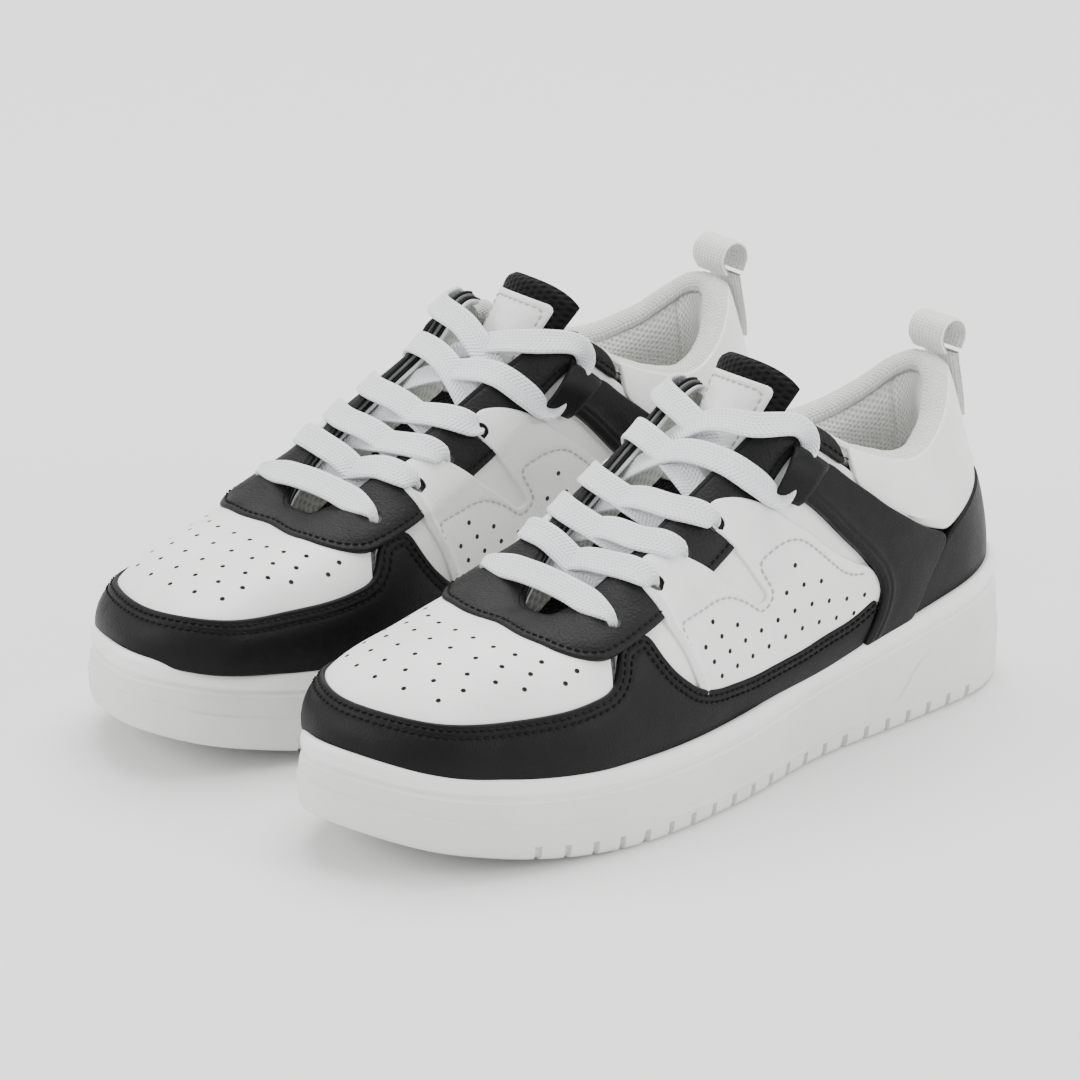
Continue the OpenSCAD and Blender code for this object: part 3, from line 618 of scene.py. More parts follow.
OVERLAY_STITCH = [(6.94, 0.26), (7.33, 0.54, 3), (6.50, 0.53, 6), (6.02, 0.44), (5.79, 0.385, 3),
                  (5.56, 0.42, 3),
                  (5.86, 0.55, 4), (5.19, 0.56, 8), (4.3, 0.43, 8), (3.95, 0.43)]
STRAP_REAR = [(3.15, 0.06), (3.02, 0.19), (2.82, 0.32), (2.47, 0.45, 6), (3.36, 0.67), (4.0, 0.785),
              (4.62, 0.825)]
STRAP_FRONT = [(3.96, 0.06), (3.76, 0.2), (3.68, 0.33), (3.81, 0.43), (4.1, 0.52), (4.6, 0.60), (5.12, 0.675)]
COUNTER_HIGH = [(3.2, 0.06), (3.06, 0.15), (2.86, 0.30), (2.42, 0.44, 9), (1.9, 0.475), (1.3, 0.49),
                (0.7, 0.5),
                (0, 0.5)]
COLLAR_LOW = [(4.12, 0.80), (3.36, 0.665), (2.42, 0.45), (1.9, 0.47), (1.2, 0.48), (0.6, 0.49), (0, 0.49)]
COLLAR_RIB = [(3.3, 0.672), (2.9, 0.60), (2.4, 0.568), (1.88, 0.575), (1.2, 0.565), (0.6, 0.56), (0, 0.56)]
LABEL_INSET = 0.80


def both(line):
    """A line that crosses the toe: the lateral half, then its mirror image."""
    return list(line) + mirrored(line)[1:]


def round_heel(line):
    """A line that crosses the heel: the lateral half, then its mirror image."""
    return list(line) + [(-p[0],) + tuple(p[1:]) for p in reversed(line[:-1])]


def flip(items):
    """The same places on the medial side."""
    return [(N_ST - i[0],) + tuple(i[1:]) for i in items]


def toe_holes():
    """Air holes in the toe cap, in curved rows."""
    out = []
    for middle, pitch, count in ((0.78, 0.62, 10), (0.70, 0.58, 10), (0.615, 0.5, 9), (0.535, 0.45, 6),
                                 (0.455, 0.46, 5)):
        for i in range(count):
            d = (i - (count - 1) / 2) * pitch
            out.append((12 + d, middle - 0.028 * d * d, 0.85))
    return out


def side_holes():
    """Air holes in the side overlay: slanting rows kept clear of its edges and stitching."""
    bar = skin(*np.array(resampled(rounded(OVERLAY, 2, True), 2, True)).T)
    row = seam(OVERLAY_STITCH)
    bar = np.concatenate([bar, skin(row[:, 0], row[:, 1])])
    spots = np.array([(7.07 - 0.31 * i - 0.15 * j, 0.475 - 0.068 * j) for i in range(10) for j in range(4)])
    row_uv = np.concatenate([row, [[3.7, 0.2], [6.9, 0.2]]])
    spots = spots[inside(spots, row_uv)]
    spots = spots[near(skin(spots[:, 0], spots[:, 1]), bar) > 4.2]
    return [(u, v, 0.85) for u, v in spots]


def eyestay_height(uv):
    """The eyestay lies on the toe cap, and on the bumper where the two meet."""
    places = skin(uv[:, 0], uv[:, 1])
    u = np.concatenate([np.linspace(7.9, 8.6, 20), N_ST - np.linspace(7.9, 8.6, 20)])
    return 2.1 + 1.2 * smooth_step(1.25 - near(places, skin(u, np.full(40, 0.58))) / 9)


def overlay_height(uv):
    """The overlay lies on the quarter below and on the eyestay above."""
    u = np.where(uv[:, 0] > 12, N_ST - uv[:, 0], uv[:, 0])
    edge = np.interp(u, [p[0] for p in EYESTAY_LOW[:8]], [p[1] for p in EYESTAY_LOW[:8]])
    return 1.5 + 1.5 * smooth_step((uv[:, 1] - edge + 0.05) / 0.07)


EYELET_R = 2.7


def toe_cap():
    outline = both(TOE_LOW) + list(reversed(both(TOE_HIGH)))
    return panel(outline, top=0.9, puff=0.35, holes=toe_holes(), grid=2.4)


def bumper():
    low = [(u, 0.05) for u in np.linspace(3.9, 20.1, 28)]
    line = both(BUMPER_HIGH)
    row = seam(line, 6)
    lines = [(beside(row, 1.9), -0.3, 0.8), (beside(row, 4.1), -0.3, 0.8)]
    shape = panel(low + list(reversed(line)), top=2.3, edge=0.8, radius=6, puff=0.3, lines=lines, grid=3.0)
    return shape, [beside(row, 1.9), beside(row, 4.1)]


def eyestay():
    high = [(u, 0.985) for u in np.linspace(4.35, 19.65, 30)]
    line = both(EYESTAY_LOW)
    row = seam(line, 7)
    inner = beside(row, -2.4)
    holes = [(*EYELETS[i], EYELET_R) for i in (0, 2)]
    shape = panel(line + list(reversed(high)), top=eyestay_height, edge=0.8, radius=5, puff=0.25,
                  lines=[(inner, -0.3, 0.8)], holes=holes + flip(holes), grid=2.6)
    return shape, [inner]


def quarter(medial):
    outline = [(3.6, 0.05), (4.8, 0.05), (6, 0.05), (7.2, 0.05), (8.5, 0.05), (8.5, 0.62), (8.3, 0.80),
               (7.5, 0.93),
               (6, 0.93), (5, 0.88), (4.2, 0.86), (3.6, 0.75)]
    if medial:
        outline = flip(outline)
    return panel(outline, top=0.25, low=-1.2, grid=3.2, radius=1.5)


def overlay(medial):
    outline, rib, row = OVERLAY, seam(OVERLAY_RIB), seam(OVERLAY_STITCH)
    holes = side_holes()
    eyelets = [(*EYELETS[i], EYELET_R) for i in (1, 3)]
    if medial:
        outline, holes, eyelets = flip(outline), flip(holes), flip(eyelets)
        rib, row = (line * [-1, 1] + [N_ST, 0] for line in (rib, row))
    rib = beside(rib, 2.2 if medial else -2.2)
    shape = panel(outline, top=overlay_height, edge=0.7, puff=0.25, radius=2.5, holes=holes + eyelets,
                  grid=2.2,
                  lines=[(rib, 0.8, 1.1), (row, -0.28, 0.7)])
    return shape, row


def strap(medial):
    outline = STRAP_FRONT + list(reversed(STRAP_REAR))
    row = seam([p[:2] for p in STRAP_FRONT], 8)
    inner = [beside(row, d) for d in (-2.0, -4.2)]
    if medial:
        outline = flip(outline)
        inner = [line * [-1, 1] + [N_ST, 0] for line in inner]
    lines = [(line, 0.45, 0.8) for line in inner]
    return panel(outline, top=3.3, edge=0.8, radius=5, puff=0.2, lines=lines, grid=2.6)


def heel_counter():
    low = [(u, 0.05) for u in np.linspace(3.2, -3.2, 14)]
    line = round_heel(COUNTER_HIGH)
    row = seam(line, 8)
    inner = [beside(row, d) for d in (2.0, 4.2)]
    turned = [tuple(p) for p in reversed(line)]
    front = [row[np.abs(row[:, 0]) > 2.0] for row in inner]
    lines = []
    for places in front:
        for sign in (1, -1):
            part = places[places[:, 0] * sign > 0]
            lines.append((part, 0.4, 0.8))
    return panel(low + turned, top=2.2, edge=0.8, radius=7, puff=0.25, lines=lines, grid=2.8)


def collar_panel():
    high = [(u, 0.985) for u in np.linspace(4.2, -4.2, 22)]
    line = round_heel(COLLAR_LOW)
    rib = seam(round_heel(COLLAR_RIB), 8)
    return panel(line + list(reversed(high)), top=1.3, edge=0.7, radius=3, puff=0.5, lines=[(rib, 0.9, 1.3)],
                 grid=2.8)


def lace_loop(medial):
    """A folded band of leather that bridges the lace on the strap."""
    rear = open_at([(5.10, 0.645), (4.86, 0.73), (4.58, 0.81)], np.linspace(0, 1, 9))
    front = open_at([(5.50, 0.72), (5.28, 0.79), (5.05, 0.855)], np.linspace(0, 1, 9))
    a = np.linspace(0, 1, 25)
    lift = 2.9 + 4.4 * np.sin(math.pi * a) ** 0.6
    rows = []
    for f, fall in ((0, 1.6), (0, 0.6), (0.04, 0.1), (0.15, 0), (0.5, 0.25), (0.85, 0), (0.96, 0.1),
                    (1, 0.6), (1, 1.6)):
        uv = (1 - f) * open_at(rear, a) + f * open_at(front, a)
        if medial:
            uv = uv * [-1, 1] + [N_ST, 0]
        rows.append(upper(uv[:, 0], uv[:, 1], lift - fall))
    under = [rows[-1] * 0.5 + rows[0] * 0.5]
    grid = np.stack(rows + under)
    if medial:
        grid = grid[:, ::-1]
    shape = Shape()
    along = np.linspace(0, 22, 25)
    marks = np.stack(np.broadcast_arrays(along[None], np.linspace(0, 14, len(grid))[:, None]), -1)
    shape.grid(grid[:, ::-1], marks, 0, wrap_rows=True)
    return shape


def facing_edges():
    """The cut edges of the layers round the throat, stacked black, grey and white."""
    shape = Shape()
    u = np.linspace(4.85, 19.15, 190)
    n = skin_normal(u, 0.985)
    up = unit(skin(u, 0.99) - skin(u, 0.95))
    for slot, off, r in ((0, 1.3, 0.75), (1, 0.0, 0.72), (0, -1.3, 0.75), (2, -2.7, 0.8)):
        tube(shape, upper(u, np.full(len(u), 0.985), np.full(len(u), off)) + 0.6 * up, up, n, r * 1.5, r, 8,
             slot)
    return shape


# ---------------------------------------------------------------- soft collar, linings and tongue

def collar_binding():
    """The padded roll round the opening, which thins and runs on down both edges of the throat."""
    shape = Shape()
    u = np.linspace(5.0, -5.0, 230)
    n, up = skin_normal(u, 0.97), unit(skin(u, 1.0) - skin(u, 0.95))
    wave = 0.10 * np.sin(u * 9.0) + 0.06 * np.sin(u * 23.0 + 1)
    centre = skin(u, 1.0) + (-3.9) * n + (-1.9 + wave)[:, None] * up
    end = smooth_step((5.0 - np.abs(u)) / 0.35)
    centre = centre - (1 - end)[:, None] * 1.2 * (n + up)
    tube(shape, centre, n, up, 4.4 * (0.62 + 0.38 * end), 4.1 * (0.62 + 0.38 * end), 18, 0, twist_mark=2.2)
    return shape


def collar_lining():
    shape = Shape()
    u = np.linspace(4.7, -4.7, 150)
    v = np.linspace(0.02, 0.965, 46)
    depth = np.interp(v, [0, 0.2, 0.35, 0.5, 0.65, 0.8, 0.9, 0.94, 0.97],
                      [5.2, 6.0, 7.4, 10.2, 11.8, 12, 10.6, 8.8, 6.6])
    depth = np.convolve(np.pad(depth, 2, mode="edge"), np.ones(5) / 5, mode="valid")
    side = smooth_step((4.75 - np.abs(u)) / 0.5)
    seam_dip = 0.9 * (np.exp(-((u - 1.15) / 0.045) ** 2) + np.exp(-((u + 1.15) / 0.045) ** 2))
    off = -(4.8 + (depth[:, None] - 4.8) * side[None]) + seam_dip[None]
    uu, vv = np.meshgrid(u, v)
    grid = upper(uu, vv, off)
    marks = np.stack([uu * 24, vv * 78], -1)
    shape.grid(grid, marks, 0)
    return shape


def vamp_lining():
    shape = Shape()
    uu, vv = np.meshgrid(np.linspace(4.5, 19.5, 130), np.linspace(0.02, 0.985, 26))
    grid = upper(uu, vv, np.full(uu.shape, -3.3))
    shape.grid(grid[:, ::-1], np.stack([uu * 20, vv * 60], -1), 0)
    return shape


TONGUE_LINE = np.array([(-66, 52), (-48, 58), (-30, 66.5), (-12, 79), (4, 92), (18.8, 108.7), (28.6, 126.6)],
                       float)
TONGUE_HALF = np.array([13, 16, 19, 20, 13, 15, 18.5], float)
TONGUE_WRAP = np.array([0.16, 0.16, 0.16, 0.16, 0.25, 0.4, 0.6])
TONGUE_HINGE = 0.612


def tongue_point(a, b, off):
    """Point of the tongue: a from edge to edge, b from the toe end to the top, off above its face."""
    a, b, off = np.broadcast_arrays(np.asarray(a, float), np.asarray(b, float), np.asarray(off, float))
    c = open_at(TONGUE_LINE, b)
    t = open_at(TONGUE_LINE, np.minimum(b + 0.01, 1)) - open_at(TONGUE_LINE, b - 0.01)
    n = unit(np.stack([np.zeros(b.shape), -t[..., 1], t[..., 0]], -1))
    w = open_at(TONGUE_HALF, b)
    fall = open_at(TONGUE_WRAP, b) * w * a * a
    p = np.stack([2 - 3.5 * b + w * a, c[..., 0], c[..., 1]], -1)
    return p + (off - fall)[..., None] * n


def tongue_top_b(a):
    """The rounded top edge of the tongue."""
    return 1.0 - 0.035 * np.abs(a) ** 4


def tongue():
    """The padded mesh tongue: front, rolled edge and back as one closed skin."""
    shape = Shape()
    a = np.sin(np.linspace(-1, 1, 33) * math.pi / 2)
    b = np.linspace(0.0, 1.0, 90)
    aa, bb = np.meshgrid(a, b)
    top = tongue_top_b(aa)
    place = bb * top
    edge = np.sqrt(np.maximum(1 - np.abs(aa) ** 6, 0)) * np.sqrt(np.clip((1 - bb) / 0.02, 0, 1))
    front = tongue_point(aa, place, -3.2 + 2.6 * edge)
    back = tongue_point(aa, place, -3.2 - 2.8 * edge)
    marks = np.stack([aa * 16, place * 125], -1)
    shape.grid(front, marks, 0)
    shape.grid(back[:, ::-1], marks[:, ::-1], 0)
    return shape


def label():
    """The leather label on the tongue, with its row of stitches."""
    shape, thread = Shape(), Shape()
    ring = []
    for sa, sb in ((-1, -1), (1, -1), (1, 1), (-1, 1)):
        turn = np.linspace(0, math.pi / 2, 6)[::1 if sa * sb > 0 else -1]
        for f in turn:
            a = sa * (LABEL_INSET - 0.12 * (1 - math.cos(f)))
            b = 0.795 + sb * (0.15 - 0.02 * (1 - math.sin(f)))
            ring.append((a, b))
    ring = np.array(ring)
    closed = np.concatenate([ring, ring[:1]])
    p = tongue_point(closed[:, 0], closed[:, 1], 0.0)
    d = np.concatenate([[0], np.cumsum(np.linalg.norm(np.diff(p, axis=0), axis=1))])
    at = np.linspace(0, d[-1], int(d[-1] / 1.2), endpoint=False)
    ring = np.stack([np.interp(at, d, closed[:, k]) for k in range(2)], -1)
    middle = ring.mean(0)
    rows, spans = [], []
    for f, h in ((1, -1.2), (1, 0.5), (0.99, 0.95), (0.97, 1.15), (0.9, 1.2), (0.87, 0.95), (0.84, 1.2),
                 (0.6, 1.45),
                 (0.3, 1.5), (0.0, 1.5)):
        spot = middle + (ring - middle) * f
        rows.append(tongue_point(spot[:, 0], spot[:, 1], h - 1.2))
        spans.append(np.stack([spot[:, 0] * 16, spot[:, 1] * 125], -1))
    rows, spans = np.stack(rows), np.stack(spans)
    shape.grid(rows, spans, 0, wrap_cols=True)
    spot = middle + (ring - middle) * 0.87
    spot = np.concatenate([spot, spot[:1]])
    path = tongue_point(spot[:, 0], spot[:, 1], 0.05)
    bead_row(thread, path, tongue_point(spot[:, 0], spot[:, 1], 1.05) - path)
    return shape, thread


# ---------------------------------------------------------------- webbing and laces

TAB_PATH = [(113, 109.2), (110.9, 113.5), (112.6, 118), (116.5, 119.4), (120.3, 117.3), (121.4, 113.4),
            (119.6, 109.2)]
BASE_PATH = [(118.3, 108.0), (119.0, 104), (120.2, 98), (121.4, 91), (121.8, 86)]
TAB_W = 15.0


def webbing(path, thick):
    """A flat ribbon of webbing across the shoe along a path of (y, z)."""
    shape = Shape()
    s = open_at(path, np.linspace(0, 1, 70))
    centres = np.stack([np.zeros(len(s)), s[:, 0], s[:, 1]], -1)
    t = unit(np.gradient(centres, axis=0))
    across = np.repeat([[1.0, 0.0, 0.0]], len(s), 0)
    tube(shape, centres, across, unit(np.cross(across, t)), TAB_W / 2, thick / 2, 26, 0, power=0.35)
    return shape


def facing(side, at, off):
    """Point over one facing, on the shoe's side that `side` names, `off` above the upper's face."""
    return upper(np.array(at[0] if side > 0 else N_ST - at[0]), np.array(at[1]), np.array(off))


def facing_edge(side, u, off):
    return facing(side, (u, 1.0), off) - [side, 0, 0]


def knot(p, width):
    return [*p, width]


def crossing(side, start, to):
    """Half a crossing: out from under one facing, straight over the other and down into its eyelet."""
    a, b = facing(side, start, -5.4), facing_edge(side, start[0], -4.6)
    d = facing_edge(-side, to[0] + 0.45, 3.4)
    m = (b + d) / 2 + [0, 0, 0.4 if side > 0 else 2.8]
    over = facing(-side, (to[0] + 0.25, (1 + to[1]) / 2), 4.2)
    lip = facing(-side, (to[0] + 0.08, to[1] + 0.03), 4.3)
    return [knot(a, 3.4), knot(b, LACE_W), knot(m, LACE_W), knot(d, LACE_W), knot(over, LACE_W),
            knot(lip, LACE_W * 0.8), knot(facing(-side, to, 3.2), 3.4), knot(facing(-side, to, -3.4), 3.4)]


def top_run(side, start):
    """The last run: through the loop, back over the label and in behind the other facing."""
    low, high = LOOP_MOUTHS
    lift = 4.8 if side > 0 else 2.4
    a, b = facing(-side, start, -5.4), facing_edge(-side, start[0], -4.6)
    d, over = facing_edge(side, 6.1, 3.4), facing_edge(side, 5.45, 5.4)
    tuck = facing_edge(-side, 6.0, -6.2)
    inside_loop = ((low[0] + high[0]) / 2, (low[1] + high[1]) / 2)
    return [knot(a, 3.4), knot(b, LACE_W), knot((b + d) / 2 + [0, 0, lift], LACE_W), knot(d, LACE_W),
            knot(facing(side, (5.75, 0.81), 4.2), LACE_W), knot(facing(side, low, 3.3), 6),
            knot(facing(side, inside_loop, 3.2), 5.5), knot(facing(side, high, 3.4), 6),
            knot(facing(side, (4.98, 0.93), 5.2), 7.5), knot(over, LACE_W),
            knot((over + tuck) / 2 + [0, 0, lift], LACE_W), knot(tuck, LACE_W),
            knot(facing(-side, (6.05, 0.84), -6.4), LACE_W * 0.8)]


def half_lace(side):
    path = []
    for i in range(3):
        path += crossing(side if i % 2 == 0 else -side, EYELETS[i], EYELETS[i + 1])
    return path + top_run(side, EYELETS[3])


def lace_path():
    """The whole lace from end to end: x, y, z and width of each of its points."""
    r, l = facing(1, EYELETS[0], 3.6), facing(-1, EYELETS[0], 3.6)
    bar = [knot((l + r) / 2 + s * (r - l) / 2 + np.array([0, 0, 3.4 * (1 - s * s)]),
                3.4 if abs(s) > 0.9 else LACE_W)
           for s in (-1, -0.66, -0.33, 0, 0.33, 0.66, 1)]
    return np.array(half_lace(-1)[::-1] + bar + half_lace(1))


def lace():
    """The flat woven lace: a soft ribbon whose edges are a little thicker than its middle."""
    knots = lace_path()
    s = open_at(knots, np.linspace(0, 1, 40 * len(knots)))
    d = np.concatenate([[0], np.cumsum(np.linalg.norm(np.diff(s[:, :3], axis=0), axis=1))])
    at = np.linspace(0, d[-1], int(d[-1] / 1.1))
    c = np.stack([np.interp(at, d, s[:, k]) for k in range(4)], -1)
    centre, width = c[:, :3], c[:, 3]
    for _ in range(6):
        centre[1:-1] = (centre[:-2] + 2 * centre[1:-1] + centre[2:]) / 4
    t = unit(np.gradient(centre, axis=0))
    lean = np.stack([0.02 * centre[:, 0], np.full(len(t), -0.6), np.full(len(t), 0.8)], -1)
    across = unit(np.cross(t, lean))
    for _ in range(8):
        across[1:-1] = unit(across[:-2] + 2 * across[1:-1] + across[2:])
    across = unit(across - (across * t).sum(1, keepdims=True) * t)
    lift = np.cross(across, t)
    shape = Shape()
    half = [(1, 0), (0.97, 0.62), (0.88, 0.95), (0.7, 1.0), (0.35, 0.86), (0, 0.82), (-0.35, 0.86),
            (-0.7, 1.0),
            (-0.88, 0.95), (-0.97, 0.62)]
    section = np.array(half + [(-x, -z) for x, z in half])
    squeeze = LACE_T / 2 * (1 + 0.5 * (1 - width / LACE_W))
    ring = (centre[:, None] + (width / 2)[:, None, None] * section[None, :, :1] * across[:, None]
            + squeeze[:, None, None] * section[None, :, 1:] * lift[:, None])
    marks = np.stack([np.repeat(at[:, None], 20, 1),
                      np.repeat(section[None, :, 0] * LACE_W / 2 + 20, len(at), 0)], -1)
    shape.grid(ring[:, ::-1], marks[:, ::-1], 0, wrap_cols=True)
    for end in (0, -1):
        shape.add(ring[end], [tuple(range(20))[::1 if end == 0 else -1]], marks[end], 0)
    return shape


# ---------------------------------------------------------------- materials

class Nodes:
    """Short way to build a procedural material."""

    def __init__(self, name, color, rough, sheen=0.0, coat=0.0, shine=0.5):
        self.material = bpy.data.materials.new(name)
        self.material.use_nodes = True
        self.tree = self.material.node_tree
        self.shader = self.tree.nodes["Principled BSDF"]
        self.shader.inputs["Base Color"].default_value = (*color, 1)
        self.shader.inputs["Roughness"].default_value = rough
        self.shader.inputs["Specular IOR Level"].default_value = shine
        self.shader.inputs["Sheen Weight"].default_value = sheen
        self.shader.inputs["Coat Weight"].default_value = coat
        self.shader.inputs["Coat Roughness"].default_value = 0.35
        self.color = color

    def node(self, kind, **inputs):
        made = self.tree.nodes.new(kind)
        for key, value in inputs.items():
            key = key.replace("_", " ")
            if isinstance(value, bpy.types.NodeSocket):
                self.tree.links.new(value, made.inputs[key])
            else:
                made.inputs[key].default_value = value
        return made

    def place(self):
        """Position in mm in the object's own space."""
        here = self.tree.nodes.new("ShaderNodeTexCoord").outputs["Object"]
        scaled = self.tree.nodes.new("ShaderNodeVectorMath")
        scaled.operation = "SCALE"
        self.tree.links.new(here, scaled.inputs[0])
        scaled.inputs["Scale"].default_value = 1000.0
        return scaled.outputs[0]

    def marks(self):
        """The piece's own texture position in mm."""
        made = self.tree.nodes.new("ShaderNodeUVMap")
        made.uv_map = "mm"
        return made.outputs[0]

    def math(self, operation, a, b=0.0):
        made = self.tree.nodes.new("ShaderNodeMath")
        made.operation = operation
        for i, value in enumerate((a, b)):
            if isinstance(value, bpy.types.NodeSocket):
                self.tree.links.new(value, made.inputs[i])
            else:
                made.inputs[i].default_value = value
        return made.outputs[0]

    def noise(self, vector, scale, detail=2.0, rough=0.5):
        return self.node("ShaderNodeTexNoise", Vector=vector, Scale=scale, Detail=detail,
                         Roughness=rough).outputs[0]

    def cells(self, vector, scale, feature="F1"):
        made = self.node("ShaderNodeTexVoronoi", Vector=vector, Scale=scale)
        made.feature = feature
        return made.outputs["Distance"]

    def waves(self, vector, *directions):
        """Sum of cosine waves along the given directions, each given as (x, y) in turns per mm."""
        total = None
        for x, y in directions:
            dot = self.tree.nodes.new("ShaderNodeVectorMath")
            dot.operation = "DOT_PRODUCT"
            self.tree.links.new(vector, dot.inputs[0])
            dot.inputs[1].default_value = (x * 2 * math.pi, y * 2 * math.pi, 0)
            wave = self.math("COSINE", dot.outputs["Value"])
            total = wave if total is None else self.math("ADD", total, wave)
        return total

    def blend(self, factor, low, high, span=(0.0, 1.0)):
        """A colour between low and high as the factor goes across span."""
        ramp = self.tree.nodes.new("ShaderNodeMapRange")
        self.tree.links.new(factor, ramp.inputs["Value"])
        ramp.inputs["From Min"].default_value, ramp.inputs["From Max"].default_value = span
        mix = self.tree.nodes.new("ShaderNodeMix")
        mix.data_type = "RGBA"
        self.tree.links.new(ramp.outputs[0], mix.inputs["Factor"])
        mix.inputs["A"].default_value, mix.inputs["B"].default_value = (*low, 1), (*high, 1)
        self.tree.links.new(mix.outputs["Result"], self.shader.inputs["Base Color"])

    def rough_from(self, factor, low, high):
        ramp = self.tree.nodes.new("ShaderNodeMapRange")
        self.tree.links.new(factor, ramp.inputs["Value"])
        ramp.inputs["To Min"].default_value, ramp.inputs["To Max"].default_value = low, high
        self.tree.links.new(ramp.outputs[0], self.shader.inputs["Roughness"])

    def bump(self, height, depth_mm, strength=1.0):
        """Height of the surface in mm; several calls stack up."""
        made = self.tree.nodes.new("ShaderNodeBump")
        made.inputs["Distance"].default_value = depth_mm / 1000
        made.inputs["Strength"].default_value = strength
        self.tree.links.new(height, made.inputs["Height"])
        normal = self.shader.inputs["Normal"]
        if normal.is_linked:
            self.tree.links.new(normal.links[0].from_socket, made.inputs["Normal"])
        self.tree.links.new(made.outputs[0], normal)


def shade(color, factor):
    return tuple(c * factor for c in color)


def leather(name, color, rough, grain_mm=0.7, grain=0.12, shine=0.5):
    m = Nodes(name, color, rough, shine=shine)
    place = m.place()
    broad = m.noise(place, 0.035, 3.0)
    m.blend(broad, shade(color, 0.94), shade(color, 1.04), (0.35, 0.65))
    m.rough_from(m.noise(place, 0.12, 4.0), rough - 0.06, rough + 0.08)
    m.bump(m.noise(place, 0.06, 2.0), 0.5)
    m.bump(m.cells(place, 1 / grain_mm), grain)
    m.bump(m.noise(place, 4.0, 3.0), 0.05)
    return m.material


def plain(name, color, rough, noise_mm=0.6, depth=0.06, shine=0.5):
    m = Nodes(name, color, rough, shine=shine)
    m.bump(m.noise(m.place(), 1 / noise_mm, 3.0), depth)
    return m.material


def sole_rubber(name, color, rough, speckle):
    m = Nodes(name, color, rough)
    place = m.place()
    m.blend(m.noise(place, 0.05, 3.0), shade(color, 0.965), shade(color, 1.015), (0.35, 0.65))
    m.bump(m.noise(place, 0.08, 2.0), 0.25)
    if speckle:
        m.bump(m.noise(place, 1.7, 2.0, 0.6), speckle)
    m.bump(m.noise(place, 6.0, 2.0), 0.03)
    return m.material


def mesh_fabric(name, color, pitch_mm, depth, mesh_hole_shade, rough=0.8, sheen=0.3, shine=0.5):
    """Knitted mesh: round holes on a triangular lattice, with fine yarn between; the holes are painted darker
    as shade.
    """
    m = Nodes(name, color, rough, sheen=sheen, shine=shine)
    marks = m.marks()
    f = 1 / pitch_mm
    lattice = m.waves(marks, (f, 0), (f / 2, f * 0.866), (-f / 2, f * 0.866))
    # Colour darkens toward the hole centres, where the bump is lowest: painted shade in the mesh holes.
    m.blend(lattice, color, shade(color, mesh_hole_shade), (0.2, 2.4))
    m.bump(m.math("MULTIPLY", lattice, -1.0), depth / 4)
    m.bump(m.noise(m.place(), 5.0, 3.0), 0.1)
    return m.material


def ribbed(name, color, pitch_mm, depth):
    """Webbing: ribs across the ribbon and a fine weave along it."""
    m = Nodes(name, color, 0.75, sheen=0.25)
    marks = m.marks()
    rib = m.waves(marks, (0, 1 / pitch_mm))
    # Troughs between the ribs are coloured darker: painted shade.
    m.blend(rib, shade(color, 0.80), color, (-1, 0.2))
    m.bump(rib, depth)
    m.bump(m.waves(marks, (1 / 0.9, 0)), depth * 0.4)
    m.bump(m.noise(m.place(), 4.0, 3.0), 0.12)
    return m.material


def woven_lace(name, color):
    """Flat braid: slanting strands that meet in the middle of the lace."""
    m = Nodes(name, color, 0.7, sheen=0.35)
    marks = m.marks()
    split = m.tree.nodes.new("ShaderNodeSeparateXYZ")
    m.tree.links.new(marks, split.inputs[0])
    across = m.math("ABSOLUTE", m.math("SUBTRACT", split.outputs[1], 20.0))
    slant = m.math("ADD", m.math("MULTIPLY", split.outputs[0], 2 * math.pi / 1.5),
                   m.math("MULTIPLY", across, 2 * math.pi / 2.1))
    strand = m.math("COSINE", slant)
    column = m.math("COSINE", m.math("MULTIPLY", across, 2 * math.pi / 1.1))
    weave = m.math("ADD", strand, m.math("MULTIPLY", column, 0.6))
    # Low parts of the weave are coloured darker: painted shade between the strands.
    m.blend(weave, shade(color, 0.84), color, (-1.5, 0.6))
    m.bump(weave, 0.12)
    m.bump(m.noise(m.place(), 5.0, 3.0), 0.12)
    return m.material


def knitted(name, color):
    """Padded knit of the collar binding."""
    m = Nodes(name, color, 0.85, sheen=0.4)
    marks = m.marks()
    f = 1 / 1.5
    knit = m.waves(marks, (f, f * 0.5), (f, -f * 0.5), (0, f))
    # Low parts of the knit are coloured darker: painted shade between the loops.
    m.blend(knit, shade(color, 0.84), color, (-2, 1.2))
    m.bump(knit, 0.11)
    m.bump(m.noise(m.place(), 4.0, 3.0), 0.15)
    return m.material


WHITE = (0.80, 0.81, 0.79)
white_leather = leather("white_leather", WHITE, 0.42, 0.8, 0.07)
black_leather = leather("black_leather", (0.003, 0.003, 0.0033), 0.46, 0.75, 0.08, 0.16)
charcoal_leather = leather("charcoal_leather", (0.007, 0.007, 0.007), 0.52, 0.9, 0.18, 0.18)
# The rim band's rubber is a lighter copy of the wall's: painted highlight along the sole's top edge.
lit_rim_rubber = sole_rubber("sole_rim_highlight", (0.82, 0.83, 0.81), 0.38, 0.0)
wall_rubber = sole_rubber("sole_wall", (0.70, 0.715, 0.69), 0.55, 0.16)
black_thread = plain("black_thread", (0.004, 0.004, 0.004), 0.6, 0.5, 0.1, shine=0.15)
grey_thread = plain("grey_thread", (0.42, 0.43, 0.42), 0.7, 0.5, 0.1)
